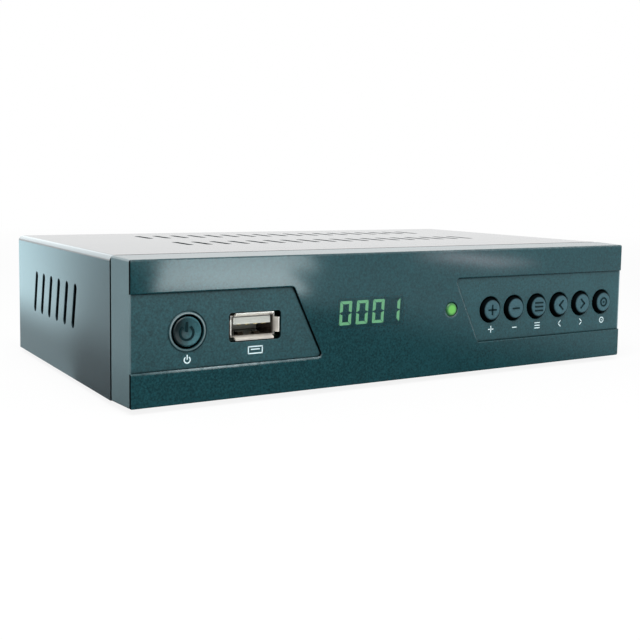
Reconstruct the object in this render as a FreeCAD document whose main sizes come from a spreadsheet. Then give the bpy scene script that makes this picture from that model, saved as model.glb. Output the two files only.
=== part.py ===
"""Digital satellite receiver: folded steel case, moulded front, boards, sockets and seven push buttons.

Millimetres. +X runs to the right as seen from the front, +Y to the back and +Z up. The origin is under
the middle of the receiver, on the surface that its feet stand on.
"""
import FreeCAD, Part
import math
import os
import Sketcher

# ---------------------------------------------------------------------------------------------------
# Driving dimensions. Each one is a cell of the spreadsheet, and everything else is worked out from them.
# ---------------------------------------------------------------------------------------------------
SIZES = {
    # case
    "case_width": 176.0,
    "case_height": 38.0,
    "case_depth": 105.0,
    "steel": 0.8,                    # sheet of the cover and the chassis
    "bend_radius": 1.6,              # outside of a fold
    "fit": 0.2,                      # between pieces that are pushed together
    "seam_gap": 0.9,                 # shadow gap between bezel and cover
    "weld": 0.4,                     # how far a solid is sunk into the one that it is fused with
    # slots in the cover
    "top_slot_count": 18,
    "top_slot_pitch": 6.4,
    "top_slot_length": 14.0,
    "top_slot_width": 2.1,
    "top_row_front": 49.2,           # from the front face to the middle of the front row
    "top_row_spacing": 33.0,
    "top_row_shift": 2.2,            # rows stand this much to the right of the middle
    "side_slot_count": 6,
    "side_slot_pitch": 8.1,
    "side_slot_length": 13.1,
    "side_slot_width": 2.7,
    "side_slot_lean": 14.0,          # degrees
    "side_row_front": 43.4,          # from the front face to the first slot
    "side_row_height": 21.2,
    "floor_slot_count": 14,
    "floor_slot_pitch": 7.0,
    "floor_slot_length": 16.0,
    # cover's rear flange and its screws
    "flange_height": 7.0,
    "flange_screw_spread": 70.0,
    "screw_diameter": 3.0,
    "screw_head": 5.6,
    "screw_head_height": 1.6,
    "screw_head_round": 0.8,
    "screw_grip": 3.0,               # shank beyond the sheet that it holds
    "small_screw_diameter": 2.2,
    "small_screw_head": 4.2,
    # chassis
    "tray_side_height": 12.0,
    "tray_front_height": 8.0,
    "standoff_height": 5.0,
    "standoff_diameter": 7.0,
    # feet
    "foot_height": 1.5,
    "foot_diameter": 12.0,
    "foot_chamfer": 0.5,
    "foot_recess": 16.0,             # from the case's edges to a foot's middle
    # bezel
    "bezel_depth": 11.5,
    "bezel_draft": 0.8,              # each side draws in this much towards the front
    "bezel_drop": 0.3,               # and the top this much
    "bezel_wall": 2.0,
    "bezel_corner": 0.6,
    "lip_length": 3.0,
    "lip_wall": 1.4,
    "hook_spread": 60.0,
    "hook_width": 8.0,
    "hook_wall": 1.4,
    "hook_tooth": 1.2,
    # glossy lens and the two recessed panels beside its waist
    "recess": 0.6,
    "panel_low": 9.0,
    "panel_high": 29.0,
    "left_panel_top": 11.3,          # from the USB socket's middle to the upper end of its slanted edge
    "left_panel_bottom": 20.8,
    "right_panel_top": 14.25,        # from the first key's middle to the upper end of its slanted edge
    "right_panel_bottom": 4.95,
    "panel_corner": 1.0,
    "lens_edge": 0.35,
    # row across the front: its spacings share out the case's width, from the left to the right
    "power_inset": 16.4,             # from the case's side to the power button's middle
    "usb_spacing": 19.7,             # from the power button to the USB socket, middle to middle
    "display_spacing": 37.1,
    "light_spacing": 29.0,
    "key_spacing": 15.75,            # from the status light to the first key
    "key_pitch": 9.75,
    "key_inset": 9.3,                # from the last key's middle to the case's side
    # buttons
    "button_travel": 0.4,
    "key_count": 6,
    "key_height": 18.75,
    "key_diameter": 7.0,
    "key_bore": 8.1,
    "key_proud": 1.15,
    "key_edge": 0.95,
    "key_bore_chamfer": 0.25,
    "power_diameter": 7.9,
    "power_bore": 9.1,
    "power_proud": 0.3,
    "power_dish": 0.85,
    "power_edge": 0.4,
    "ring_diameter": 10.5,
    "ring_height": 0.35,
    "ring_round": 0.3,
    "button_flange": 0.8,            # collar behind the wall that keeps a cap in: thickness, and width
    "collar_play": 0.05,             # between the wall and a collar at rest
    "stem_diameter": 3.2,
    "stem_length": 1.4,
    "switch_width": 6.0,
    "switch_height": 3.5,
    "plunger_diameter": 3.0,
    "plunger_length": 0.9,
    "plunger_seat": 0.6,             # stretch of the plunger inside its switch, at rest
    # front board
    "board_thickness": 1.6,
    "front_board_margin": 5.0,       # from the board's edges to the case's
    "front_screw_inset": 5.5,
    "front_screw_rise": 3.0,
    "boss_diameter": 5.4,
    "board_margin": 1.0,             # round the USB socket's pieces in the front board
    # display
    "display_height": 20.65,
    "display_width": 25.0,
    "display_block_height": 12.0,
    "digit_pitch": 5.6,
    "digit_width": 3.8,
    "digit_height": 6.8,
    "segment_width": 0.8,
    "segment_gap": 0.16,
    "segment_depth": 0.3,
    "digit_lean": 3.4,               # degrees
    # status light and remote control receiver
    "light_height": 19.75,
    "light_diameter": 4.0,
    "light_proud": 0.25,
    "light_round": 0.5,
    "led_diameter": 3.0,
    "led_length": 5.2,
    "led_round": 1.35,
    "remote_spacing": 19.8,          # from the display's middle
    "remote_height": 20.0,
    "remote_width": 5.6,
    "remote_lens": 5.1,
    "remote_lens_round": 2.0,
    "remote_sink": 1.0,              # its lens in its window
    # USB socket
    "usb_height": 18.9,
    "usb_window_width": 15.7,
    "usb_window_height": 7.9,
    "usb_window_corner": 1.0,
    "usb_width": 13.3,
    "usb_thickness": 5.9,
    "usb_wall": 0.4,
    "usb_length": 13.8,
    "usb_sink": 0.3,                 # mouth behind the panel's face
    "usb_flare": 0.75,
    "usb_flare_length": 1.5,
    "usb_flare_inset": 0.9,          # a lip's ends, from the shell's corners
    "usb_tongue_width": 11.1,
    "usb_tongue_thickness": 1.85,
    "usb_tongue_rise": 1.35,         # tongue's middle over the socket's
    "usb_tongue_sink": 1.9,
    "usb_back": 2.6,
    "usb_contact_count": 4,
    "usb_contact_pitch": 2.5,
    "usb_contact_width": 1.2,
    "usb_contact_thickness": 0.2,
    "usb_board_width": 15.4,
    "usb_board_thickness": 1.2,
    "usb_board_length": 14.2,
    "usb_rail": 1.5,                 # ribs of the bezel that carry this board
    "usb_rail_depth": 3.0,
    "usb_rail_spread": 5.1,
    "usb_spring_width": 1.6,
    "usb_spring_length": 3.5,
    "usb_spring_flat": 1.75,
    "usb_spring_height": 0.5,
    "usb_spring_spread": 2.5,
    # main board
    "main_board_width": 152.0,
    "main_board_depth": 72.0,
    "board_screw_inset": 5.0,
    "chip_width": 17.0,
    "chip_height": 1.6,
    "chip_place": 8.0,               # its middle behind the middle of the board
    "memory_width": 10.0,
    "memory_length": 20.0,
    "memory_height": 1.1,
    "memory_spread": 30.0,           # from the chip's middle to each memory's
    "capacitor_diameter": 8.0,
    "capacitor_height": 12.0,
    "capacitor_pitch": 10.0,
    "capacitor_count": 3,
    "inductor_width": 8.0,
    "inductor_height": 4.5,
    "inductor_pitch": 10.0,
    "inductor_count": 3,
    "power_row_inset": 22.0,         # middle of the capacitors, from the board's left edge
    "crystal_length": 11.0,
    "crystal_width": 4.6,
    "crystal_height": 3.6,
    "sink_width": 22.0,
    "sink_height": 10.0,
    "sink_base": 2.0,
    "sink_fin": 1.2,
    "sink_fin_count": 6,
    "sink_fin_pitch": 4.0,
    "cable_width": 13.0,
    "cable_thickness": 0.8,
    "cable_bend": 4.0,
    "cable_spacing": 5.8,            # from the status light's middle
    "header_depth": 4.0,
    "header_height": 5.5,
    # tuner and its aerial socket
    "f_place": 52.0,                 # sockets are placed from the middle of the case
    "f_height": 7.0,                 # its axis over the main board
    "f_diameter": 9.5,
    "f_reach": 9.5,                  # behind the case
    "f_bore": 6.8,
    "f_collar": 10.4,
    "f_collar_length": 1.5,
    "f_chamfer": 0.5,
    "f_insert_sink": 1.5,
    "f_relief": 0.5,                 # thread's depth, cut away under the nut
    "f_core_hole": 1.4,
    "f_nut_width": 11.0,
    "f_nut_length": 2.2,
    "tuner_width": 28.0,
    "tuner_depth": 40.0,
    "tuner_height": 14.0,
    "tuner_wall": 0.5,
    "tuner_skirt": 1.5,
    # sound output
    "rca_place": 29.0,
    "rca_height": 7.5,
    "rca_width": 10.0,
    "rca_block_height": 12.5,
    "rca_depth": 12.0,
    "rca_disc": 10.8,
    "rca_diameter": 8.3,
    "rca_wall": 0.45,
    "rca_reach": 8.6,
    "rca_hole": 3.4,
    # HDMI output
    "hdmi_place": 10.0,
    "hdmi_height": 3.1,
    "hdmi_width": 15.0,
    "hdmi_thickness": 5.6,
    "hdmi_wall": 0.4,
    "hdmi_depth": 11.5,
    "hdmi_back": 3.8,
    "hdmi_shoulder": 1.6,
    "hdmi_tongue_width": 11.6,
    "hdmi_tongue_thickness": 1.1,
    # SCART output
    "scart_place": -24.5,
    "scart_width": 46.0,
    "scart_block_height": 15.0,
    "scart_depth": 16.0,
    "scart_reach": 5.0,
    "scart_slant": 7.0,
    "scart_wall": 0.6,
    "scart_gap": 1.5,
    "scart_contact_count": 10,
    "scart_contact_pitch": 3.8,
    "scart_row_spacing": 5.0,
    "scart_contact_width": 0.8,
    "scart_contact_height": 2.0,
    "scart_slot_depth": 6.0,
    # inlet for the mains adaptor
    "dc_place": -60.0,
    "dc_height": 6.2,
    "dc_width": 9.0,
    "dc_block_height": 11.0,
    "dc_depth": 14.0,
    "dc_bore": 6.4,
    "dc_bore_depth": 9.5,
    "dc_pin": 2.0,
    "dc_pin_round": 0.5,
}


class Size:
    """A length that knows its number now and the expression that gives it from the sheet."""

    def __init__(self, number, text):
        self.number = number
        self.text = text

    def joined(self, sign, other, number):
        return Size(number, f"({self.text} {sign} {text_of(other)})")

    def __add__(self, other):
        return self.joined("+", other, self.number + number_of(other))

    def __sub__(self, other):
        return self.joined("-", other, self.number - number_of(other))

    def __mul__(self, other):
        return self.joined("*", other, self.number * number_of(other))

    def __truediv__(self, other):
        return self.joined("/", other, self.number / number_of(other))

    def __radd__(self, other):
        return Size(number_of(other) + self.number, f"({text_of(other)} + {self.text})")

    def __rsub__(self, other):
        return Size(number_of(other) - self.number, f"({text_of(other)} - {self.text})")

    def __rmul__(self, other):
        return Size(number_of(other) * self.number, f"({text_of(other)} * {self.text})")

    def __neg__(self):
        return 0 - self


def number_of(length):
    return length.number if isinstance(length, Size) else float(length)


def text_of(length):
    return length.text if isinstance(length, Size) else repr(float(length))


def tangent(degrees):
    """The slope of a lean that is given in degrees."""
    return Size(math.tan(math.radians(degrees.number)), f"tan({degrees.text} * 1 deg)")


def fill_sheet(document):
    """The spreadsheet of driving dimensions, one alias and one plain number in each row."""
    sheet = document.addObject("Spreadsheet::Sheet", "Sizes")
    for row, (alias, number) in enumerate(SIZES.items(), start=1):
        sheet.set(f"A{row}", alias)
        sheet.set(f"B{row}", str(number))
        sheet.setAlias(f"B{row}", alias)
    document.recompute()
    return sheet


class Spec:
    """Driving dimensions by name, such as spec.case_width."""

    def __getattr__(self, alias):
        return Size(float(SIZES[alias]), f"Sizes.{alias}")


doc = FreeCAD.newDocument("satellite_receiver")
fill_sheet(doc)
spec = Spec()
NODES = []

# ---------------------------------------------------------------------------------------------------
# Places that several pieces share
# ---------------------------------------------------------------------------------------------------
HALF_WIDTH = spec.case_width / 2
FLOOR = spec.foot_height                                  # underside of the case
CEILING = FLOOR + spec.case_height
FRONT = -(spec.case_depth + spec.f_reach) / 2             # face of the lens
REAR = FRONT + spec.case_depth                            # back edge of the cover
PANEL = FRONT + spec.recess                               # face of the recessed panels, back of the lens
WALL_BACK = PANEL + spec.bezel_wall                       # inside of the bezel's front wall
SEAM = FRONT + spec.bezel_depth                           # back edge of the bezel's outside
COVER_FRONT = SEAM + spec.seam_gap
REAR_PANEL_BACK = REAR - spec.steel - spec.fit
REAR_PANEL_FRONT = REAR_PANEL_BACK - spec.steel
FLANGE_FRONT = WALL_BACK + spec.collar_play               # collars of the caps, at rest
BOARD_FACE = (FLANGE_FRONT + spec.button_flange + spec.stem_length
              + spec.plunger_length + spec.switch_height)
BOARD_BACK = BOARD_FACE + spec.board_thickness
MAIN_BOARD_BOTTOM = FLOOR + spec.steel + spec.standoff_height
MAIN_BOARD_TOP = MAIN_BOARD_BOTTOM + spec.board_thickness
MAIN_BOARD_REAR = REAR_PANEL_FRONT - spec.fit
MAIN_BOARD_FRONT = MAIN_BOARD_REAR - spec.main_board_depth
FRONT_BOARD_HALF_WIDTH = HALF_WIDTH - spec.front_board_margin
FRONT_BOARD_BOTTOM = FLOOR + spec.front_board_margin
FRONT_BOARD_TOP = CEILING - spec.front_board_margin
TRAY_HALF_WIDTH = HALF_WIDTH - spec.steel - spec.fit
TRAY_FRONT = COVER_FRONT + spec.lip_length + spec.fit
USB_Z = FLOOR + spec.usb_height
USB_MOUTH = PANEL + spec.usb_sink
USB_END = USB_MOUTH + spec.usb_length
USB_BOARD_TOP = USB_Z - spec.usb_thickness / 2
USB_BOARD_BOTTOM = USB_BOARD_TOP - spec.usb_board_thickness
KEY_Z = FLOOR + spec.key_height
DISPLAY_Z = FLOOR + spec.display_height
LIGHT_Z = FLOOR + spec.light_height
REMOTE_Z = FLOOR + spec.remote_height

TO_USB = spec.power_inset + spec.usb_spacing
TO_DISPLAY = TO_USB + spec.display_spacing
TO_LIGHT = TO_DISPLAY + spec.light_spacing
TO_FIRST_KEY = TO_LIGHT + spec.key_spacing
TO_LAST_KEY = TO_FIRST_KEY + (SIZES["key_count"] - 1) * spec.key_pitch
SPREAD = spec.case_width / (TO_LAST_KEY + spec.key_inset)
KEY_PITCH = SPREAD * spec.key_pitch


def along_row(length):
    """Place of a length along the row, counted from the case's left side."""
    return SPREAD * length - HALF_WIDTH


def key_place(index):
    """Middle of a key, counted from the left."""
    return along_row(TO_FIRST_KEY + index * spec.key_pitch)


POWER_X = along_row(spec.power_inset)
USB_X = along_row(TO_USB)
DISPLAY_X = along_row(TO_DISPLAY)
LIGHT_X = along_row(TO_LIGHT)
REMOTE_X = along_row(TO_DISPLAY + spec.remote_spacing)
CABLE_X = along_row(TO_LIGHT + spec.cable_spacing)

MAIN_BOARD_HALF_WIDTH = SPREAD * spec.main_board_width / 2
F_X = SPREAD * spec.f_place
F_Z = MAIN_BOARD_TOP + spec.f_height
RCA_X = SPREAD * spec.rca_place
RCA_Z = MAIN_BOARD_TOP + spec.rca_height
HDMI_X = SPREAD * spec.hdmi_place
HDMI_Z = MAIN_BOARD_TOP + spec.hdmi_height
SCART_X = SPREAD * spec.scart_place
SCART_Z = MAIN_BOARD_TOP + spec.scart_block_height / 2
DC_X = SPREAD * spec.dc_place
DC_Z = MAIN_BOARD_TOP + spec.dc_height
DC_BLOCK_Z = MAIN_BOARD_TOP + spec.dc_block_height / 2
CABLE_Z = FRONT_BOARD_TOP - spec.header_height
CHIP_Y = (MAIN_BOARD_FRONT + MAIN_BOARD_REAR) / 2 - spec.chip_place


# ---------------------------------------------------------------------------------------------------
# Drawing and building
# ---------------------------------------------------------------------------------------------------
PLANES = {"top": "XY_Plane", "front": "XZ_Plane", "side": "YZ_Plane"}


def bind(thing, name, length):
    """Ties a property to its expression, or sets it where it is a plain number."""
    if isinstance(length, Size):
        thing.setExpression(name, length.text)
    else:
        thing.setExpression(name, repr(float(length)))


def place(thing, x=0.0, y=0.0, z=0.0):
    """Puts a sub-part's own origin at a place in the receiver."""
    for axis, length in zip("xyz", (x, y, z)):
        bind(thing, f"Placement.Base.{axis}", length)


def new_body(label):
    body = doc.addObject("PartDesign::Body", label)
    body.Label = label
    body.AllowCompound = True
    NODES.append(body)
    return body


def keep(thing, label):
    """Names a finished primitive or boolean as a sub-part."""
    thing.Label = label
    NODES.append(thing)
    return thing


def hold(sketch, kind, geometry, point, length):
    """Ties a point's distance from the sketch's origin to a length."""
    start = number_of(length)
    number = sketch.addConstraint(Sketcher.Constraint(kind, -1, 1, geometry, point, start))
    if isinstance(length, Size):
        sketch.setExpression(f"Constraints[{number}]", length.text)


def hold_point(sketch, geometry, point, across, up):
    hold(sketch, "DistanceX", geometry, point, across)
    hold(sketch, "DistanceY", geometry, point, up)


def vector(across, up):
    return FreeCAD.Vector(number_of(across), number_of(up), 0)


def polygon(*corners):
    """A closed outline of straight edges."""

    def draw(sketch):
        first = sketch.GeometryCount
        count = len(corners)
        for index, corner in enumerate(corners):
            following = corners[(index + 1) % count]
            sketch.addGeometry(Part.LineSegment(vector(*corner), vector(*following)))
        for index, corner in enumerate(corners):
            sketch.addConstraint(
                Sketcher.Constraint("Coincident", first + index, 2, first + (index + 1) % count, 1))
            hold_point(sketch, first + index, 1, *corner)

    return draw


def rectangle(left, right, low, high):
    return polygon((left, low), (right, low), (right, high), (left, high))


def box_at(across, up, width, height):
    """A rectangle about its middle."""
    return rectangle(across - width / 2, across + width / 2, up - height / 2, up + height / 2)


def circle(across, up, diameter):
    def draw(sketch):
        radius = number_of(diameter) / 2
        ring = sketch.addGeometry(Part.Circle(vector(across, up), FreeCAD.Vector(0, 0, 1), radius))
        hold_point(sketch, ring, 3, across, up)
        number = sketch.addConstraint(Sketcher.Constraint("Diameter", ring, 2 * radius))
        if isinstance(diameter, Size):
            sketch.setExpression(f"Constraints[{number}]", diameter.text)

    return draw


def slot(across, up, run_across, run_up, width):
    """A slot with round ends: its middle, the run from the middle to an end's centre, and its width."""

    def draw(sketch):
        middle = vector(across, up)
        run = vector(run_across, run_up)
        radius = number_of(width) / 2
        side = FreeCAD.Vector(-run.y, run.x, 0).normalize() * radius
        tilt = math.atan2(run.y, run.x)
        quarter = math.pi / 2
        normal = FreeCAD.Vector(0, 0, 1)
        far = Part.ArcOfCircle(Part.Circle(middle + run, normal, radius), tilt - quarter, tilt + quarter)
        near = Part.ArcOfCircle(Part.Circle(middle - run, normal, radius), tilt + quarter, tilt + 3 * quarter)
        left = Part.LineSegment(middle + run + side, middle - run + side)
        right = Part.LineSegment(middle - run - side, middle + run - side)
        first = sketch.GeometryCount
        for piece in (far, left, near, right):
            sketch.addGeometry(piece)
        for index in range(4):
            sketch.addConstraint(Sketcher.Constraint("Tangent", first + index, 2, first + (index + 1) % 4, 1))
        sketch.addConstraint(Sketcher.Constraint("Equal", first, first + 2))
        hold_point(sketch, first, 3, across + run_across, up + run_up)
        hold_point(sketch, first + 2, 3, across - run_across, up - run_up)
        number = sketch.addConstraint(Sketcher.Constraint("Radius", first, radius))
        sketch.setExpression(f"Constraints[{number}]", text_of(width / 2))

    return draw


def sketch_on(body, side, offset, *drawings):
    """A sketch on one of the body's own origin planes, at a distance along +X, +Y or +Z."""
    sketch = body.newObject("Sketcher::SketchObject", "outline")
    role = PLANES[side]
    plane = next(feature for feature in body.Origin.OriginFeatures if feature.Role == role)
    sketch.AttachmentSupport = [(plane, "")]
    sketch.MapMode = "FlatFace"
    bind(sketch, "AttachmentOffset.Base.z", -offset if side == "front" else offset)
    for draw in drawings:
        draw(sketch)
    return sketch


def extrude(body, kind, side, start, end, *drawings):
    """A pad or a pocket of an outline, from start to end along the axis that the outline faces."""
    sketch = sketch_on(body, side, start, *drawings)
    feature = body.newObject(f"PartDesign::{kind}", kind.lower())
    feature.Profile = (sketch, [""])
    bind(feature, "Length", end - start)
    feature.Reversed = (side == "front") == (kind == "Pad")
    return feature


def pad(body, side, start, end, *drawings):
    return extrude(body, "Pad", side, start, end, *drawings)


def cut(body, side, start, end, *drawings):
    return extrude(body, "Pocket", side, start, end, *drawings)


def revolve(body, *corners):
    """A round solid about the body's own Y axis, from corners given as radius and place along the axis."""
    sketch = sketch_on(body, "top", 0.0, polygon(*corners))
    feature = body.newObject("PartDesign::Revolution", "turned")
    feature.Profile = (sketch, [""])
    feature.ReferenceAxis = (sketch, ["V_Axis"])
    feature.Angle = 360
    return feature


def repeat(body, features, axis, pitch, count):
    """A row of copies along one of the body's own axes."""
    pattern = body.newObject("PartDesign::LinearPattern", "row")
    pattern.Originals = list(features)
    direction = next(feature for feature in body.Origin.OriginFeatures if feature.Role == axis)
    pattern.Direction = (direction, [""])
    pattern.Mode = "Spacing"
    bind(pattern, "Offset", pitch)
    bind(pattern, "Occurrences", count)
    body.Tip = pattern
    return pattern


def dress(body, kind, property_name, length, chosen):
    """A fillet or a chamfer on each edge of the solid so far that the test chooses."""
    doc.recompute()
    base = body.Tip
    names = [f"Edge{index}" for index, edge in enumerate(base.Shape.Edges, start=1) if chosen(edge)]
    feature = body.newObject(f"PartDesign::{kind}", kind.lower())
    feature.Base = (base, names)
    bind(feature, property_name, length)
    return feature


def fillet(body, radius, chosen):
    return dress(body, "Fillet", "Radius", radius, chosen)


def chamfer(body, size, chosen):
    return dress(body, "Chamfer", "Size", size, chosen)


def near(a, b):
    return abs(number_of(a) - number_of(b)) < 1e-4


def runs_along(edge, axis):
    """Whether an edge is straight and parallel to the axis."""
    ends = edge.Vertexes
    if len(ends) != 2 or not isinstance(edge.Curve, Part.Line):
        return False
    step = ends[1].Point - ends[0].Point
    return all(abs(getattr(step, other)) < 1e-6 for other in "xyz" if other != axis)


def lies_at(edge, **places):
    """Whether the middle of an edge's box lies at the given x, y or z."""
    middle = edge.BoundBox.Center
    return all(near(getattr(middle, axis), place_) for axis, place_ in places.items())


CORNER_SIGNS = {"low left": (-1, -1), "low right": (1, -1), "high right": (1, 1), "high left": (-1, 1)}


def beveled(across, up, width, height, bevel, inset, *cut_corners):
    """A rectangle with some corners cut off at 45 degrees, drawn in by the inset all round."""
    half_width = width / 2 - inset
    half_height = height / 2 - inset
    leg = bevel - inset * (2 - math.sqrt(2))
    corners = []
    for name, (sign_x, sign_z) in CORNER_SIGNS.items():
        x = across + sign_x * half_width
        z = up + sign_z * half_height
        if name not in cut_corners:
            corners.append((x, z))
        elif sign_x == sign_z:
            corners += [(x, z - sign_z * leg), (x - sign_x * leg, z)]
        else:
            corners += [(x - sign_x * leg, z), (x, z - sign_z * leg)]
    return polygon(*corners)


def hdmi_outline(inset=0.0):
    return beveled(HDMI_X, HDMI_Z, spec.hdmi_width, spec.hdmi_thickness, spec.hdmi_shoulder, inset,
                   "low left", "low right")


def scart_outline(inset=0.0):
    return beveled(SCART_X, SCART_Z, spec.scart_width, spec.scart_block_height, spec.scart_slant,
                   inset, "high left")


# ---------------------------------------------------------------------------------------------------
# Case
# ---------------------------------------------------------------------------------------------------
SCREW_HOLE = spec.screw_diameter + spec.fit
SMALL_SCREW_HOLE = spec.small_screw_diameter + spec.fit
FLANGE_SCREW_Z = CEILING - spec.flange_height / 2


def both_sides(across):
    return (-across, across)


def flange_screws(diameter):
    """Circles at the three screws of the cover's rear flange."""
    return [circle(x, FLANGE_SCREW_Z, diameter)
            for x in (-spec.flange_screw_spread, 0.0, spec.flange_screw_spread)]


def board_screw_places():
    side = MAIN_BOARD_HALF_WIDTH - SPREAD * spec.board_screw_inset
    low = MAIN_BOARD_FRONT + spec.board_screw_inset
    high = MAIN_BOARD_REAR - spec.board_screw_inset
    return [(x, y) for x in both_sides(side) for y in (low, high)]


def board_screws_at(diameter):
    return [circle(x, y, diameter) for x, y in board_screw_places()]


def top_cover():
    """Folded sheet over the top and both sides, with punched slots and a rear flange."""
    body = new_body("top_cover")
    inside = HALF_WIDTH - spec.steel
    underside = CEILING - spec.steel
    pad(body, "front", COVER_FRONT, REAR,
        polygon((-HALF_WIDTH, FLOOR), (-inside, FLOOR), (-inside, underside), (inside, underside),
                (inside, FLOOR), (HALF_WIDTH, FLOOR), (HALF_WIDTH, CEILING), (-HALF_WIDTH, CEILING)))
    fillet(body, spec.bend_radius, lambda edge: runs_along(edge, "y") and lies_at(edge, z=CEILING))
    fillet(body, spec.bend_radius - spec.steel,
           lambda edge: runs_along(edge, "y") and lies_at(edge, z=underside))
    flange_end = inside - spec.bend_radius
    pad(body, "front", REAR - spec.steel, REAR,
        rectangle(-flange_end, flange_end, CEILING - spec.flange_height, CEILING - spec.weld))
    cut(body, "front", REAR - 2 * spec.steel, REAR + spec.steel, *flange_screws(SCREW_HOLE))

    run = (spec.top_slot_length - spec.top_slot_width) / 2
    first = spec.top_row_shift - (spec.top_slot_count - 1) * spec.top_slot_pitch / 2
    rows = (FRONT + spec.top_row_front, FRONT + spec.top_row_front + spec.top_row_spacing)
    slots = cut(body, "top", CEILING - 2 * spec.steel, CEILING + spec.steel,
                *[slot(first, y, 0.0, run, spec.top_slot_width) for y in rows])
    repeat(body, [slots], "X_Axis", spec.top_slot_pitch, spec.top_slot_count)

    rise = (spec.side_slot_length - spec.side_slot_width) / 2
    slots = cut(body, "side", -HALF_WIDTH - spec.steel, HALF_WIDTH + spec.steel,
                slot(FRONT + spec.side_row_front, FLOOR + spec.side_row_height,
                     -(rise * tangent(spec.side_slot_lean)), rise, spec.side_slot_width))
    repeat(body, [slots], "Y_Axis", spec.side_slot_pitch, spec.side_slot_count)


def base_chassis():
    """Folded tray: floor, low side and front walls, and the tall rear panel with the sockets' cut-outs."""
    body = new_body("base_chassis")
    side_top = FLOOR + spec.tray_side_height
    inside = TRAY_HALF_WIDTH - spec.steel
    floor_top = FLOOR + spec.steel
    pad(body, "front", TRAY_FRONT, REAR_PANEL_BACK,
        polygon((-TRAY_HALF_WIDTH, FLOOR), (TRAY_HALF_WIDTH, FLOOR), (TRAY_HALF_WIDTH, side_top),
                (inside, side_top), (inside, floor_top), (-inside, floor_top),
                (-inside, side_top), (-TRAY_HALF_WIDTH, side_top)))
    fillet(body, spec.bend_radius, lambda edge: runs_along(edge, "y") and lies_at(edge, z=FLOOR))
    fillet(body, spec.bend_radius - spec.steel,
           lambda edge: runs_along(edge, "y") and lies_at(edge, z=floor_top))
    apron = TRAY_HALF_WIDTH - spec.bend_radius
    pad(body, "top", FLOOR, floor_top, rectangle(-apron, apron, COVER_FRONT, TRAY_FRONT + spec.steel))
    pad(body, "front", TRAY_FRONT, TRAY_FRONT + spec.steel,
        rectangle(-apron, apron, floor_top - spec.weld, FLOOR + spec.tray_front_height))

    panel_top = CEILING - spec.steel - spec.fit
    pad(body, "front", REAR_PANEL_FRONT, REAR_PANEL_BACK,
        rectangle(-apron, apron, floor_top - spec.weld, panel_top))
    fillet(body, spec.bend_radius, lambda edge: runs_along(edge, "y") and lies_at(edge, z=panel_top))

    pad(body, "top", floor_top, MAIN_BOARD_BOTTOM, *board_screws_at(spec.standoff_diameter))
    cut(body, "top", FLOOR - spec.steel, MAIN_BOARD_BOTTOM + spec.fit, *board_screws_at(SCREW_HOLE))

    cut(body, "front", REAR_PANEL_FRONT - spec.fit, REAR_PANEL_BACK + spec.fit,
        *flange_screws(SCREW_HOLE),
        circle(F_X, F_Z, spec.f_diameter + spec.fit),
        circle(RCA_X, RCA_Z, spec.rca_disc + spec.fit),
        hdmi_outline(-spec.fit),
        scart_outline(-spec.fit),
        box_at(DC_X, DC_BLOCK_Z, spec.dc_width + 2 * spec.fit, spec.dc_block_height + 2 * spec.fit))

    run = (spec.floor_slot_length - spec.top_slot_width) / 2
    first = -(spec.floor_slot_count - 1) * spec.floor_slot_pitch / 2
    middle = (MAIN_BOARD_FRONT + MAIN_BOARD_REAR) / 2
    slots = cut(body, "top", FLOOR - spec.steel, floor_top + spec.steel,
                slot(first, middle, 0.0, run, spec.top_slot_width))
    repeat(body, [slots], "X_Axis", spec.floor_slot_pitch, spec.floor_slot_count)


def cover_screws():
    body = new_body("cover_screws")
    pad(body, "front", REAR, REAR + spec.screw_head_height, *flange_screws(spec.screw_head))
    pad(body, "front", REAR_PANEL_FRONT - spec.screw_grip, REAR, *flange_screws(spec.screw_diameter))
    fillet(body, spec.screw_head_round, lambda edge: lies_at(edge, y=REAR + spec.screw_head_height))


def board_screws():
    body = new_body("board_screws")
    head_top = MAIN_BOARD_TOP + spec.screw_head_height
    pad(body, "top", MAIN_BOARD_TOP, head_top, *board_screws_at(spec.screw_head))
    pad(body, "top", MAIN_BOARD_TOP - spec.board_thickness - spec.screw_grip, MAIN_BOARD_TOP,
        *board_screws_at(spec.screw_diameter))
    fillet(body, spec.screw_head_round, lambda edge: lies_at(edge, z=head_top))


def rubber_feet():
    body = new_body("rubber_feet")
    across = HALF_WIDTH - spec.foot_recess
    places = [(x, y) for x in both_sides(across)
              for y in (COVER_FRONT + spec.foot_recess, REAR - spec.foot_recess)]
    pad(body, "top", 0.0, FLOOR, *[circle(x, y, spec.foot_diameter) for x, y in places])
    chamfer(body, spec.foot_chamfer, lambda edge: lies_at(edge, z=0.0))


# ---------------------------------------------------------------------------------------------------
# Front
# ---------------------------------------------------------------------------------------------------
FACE_HALF_WIDTH = HALF_WIDTH - spec.bezel_draft
FACE_TOP = CEILING - spec.bezel_drop


def front_screws_at(diameter):
    side = FRONT_BOARD_HALF_WIDTH - spec.front_screw_inset
    low = FRONT_BOARD_BOTTOM + spec.front_screw_rise
    high = FRONT_BOARD_TOP - spec.front_screw_rise
    return [circle(x, z, diameter) for x in both_sides(side) for z in (low, high)]


def keys_at(diameter):
    return [circle(key_place(index), KEY_Z, diameter) for index in range(SIZES["key_count"])]


def hook_outline(arm_low):
    """Snap hook over the tray's front wall, seen from the side."""
    root = FLOOR + spec.steel + spec.fit + spec.lip_wall / 2
    wall_back = TRAY_FRONT + spec.steel + spec.fit
    wall_face = TRAY_FRONT - spec.fit
    arm_top = arm_low + spec.hook_wall
    return polygon((SEAM, root), (wall_face, root), (wall_face, arm_low), (wall_back, arm_low),
                   (wall_back, arm_low - spec.hook_tooth), (wall_back + spec.hook_tooth, arm_low),
                   (wall_back + spec.hook_tooth, arm_top), (SEAM, arm_top))


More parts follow.
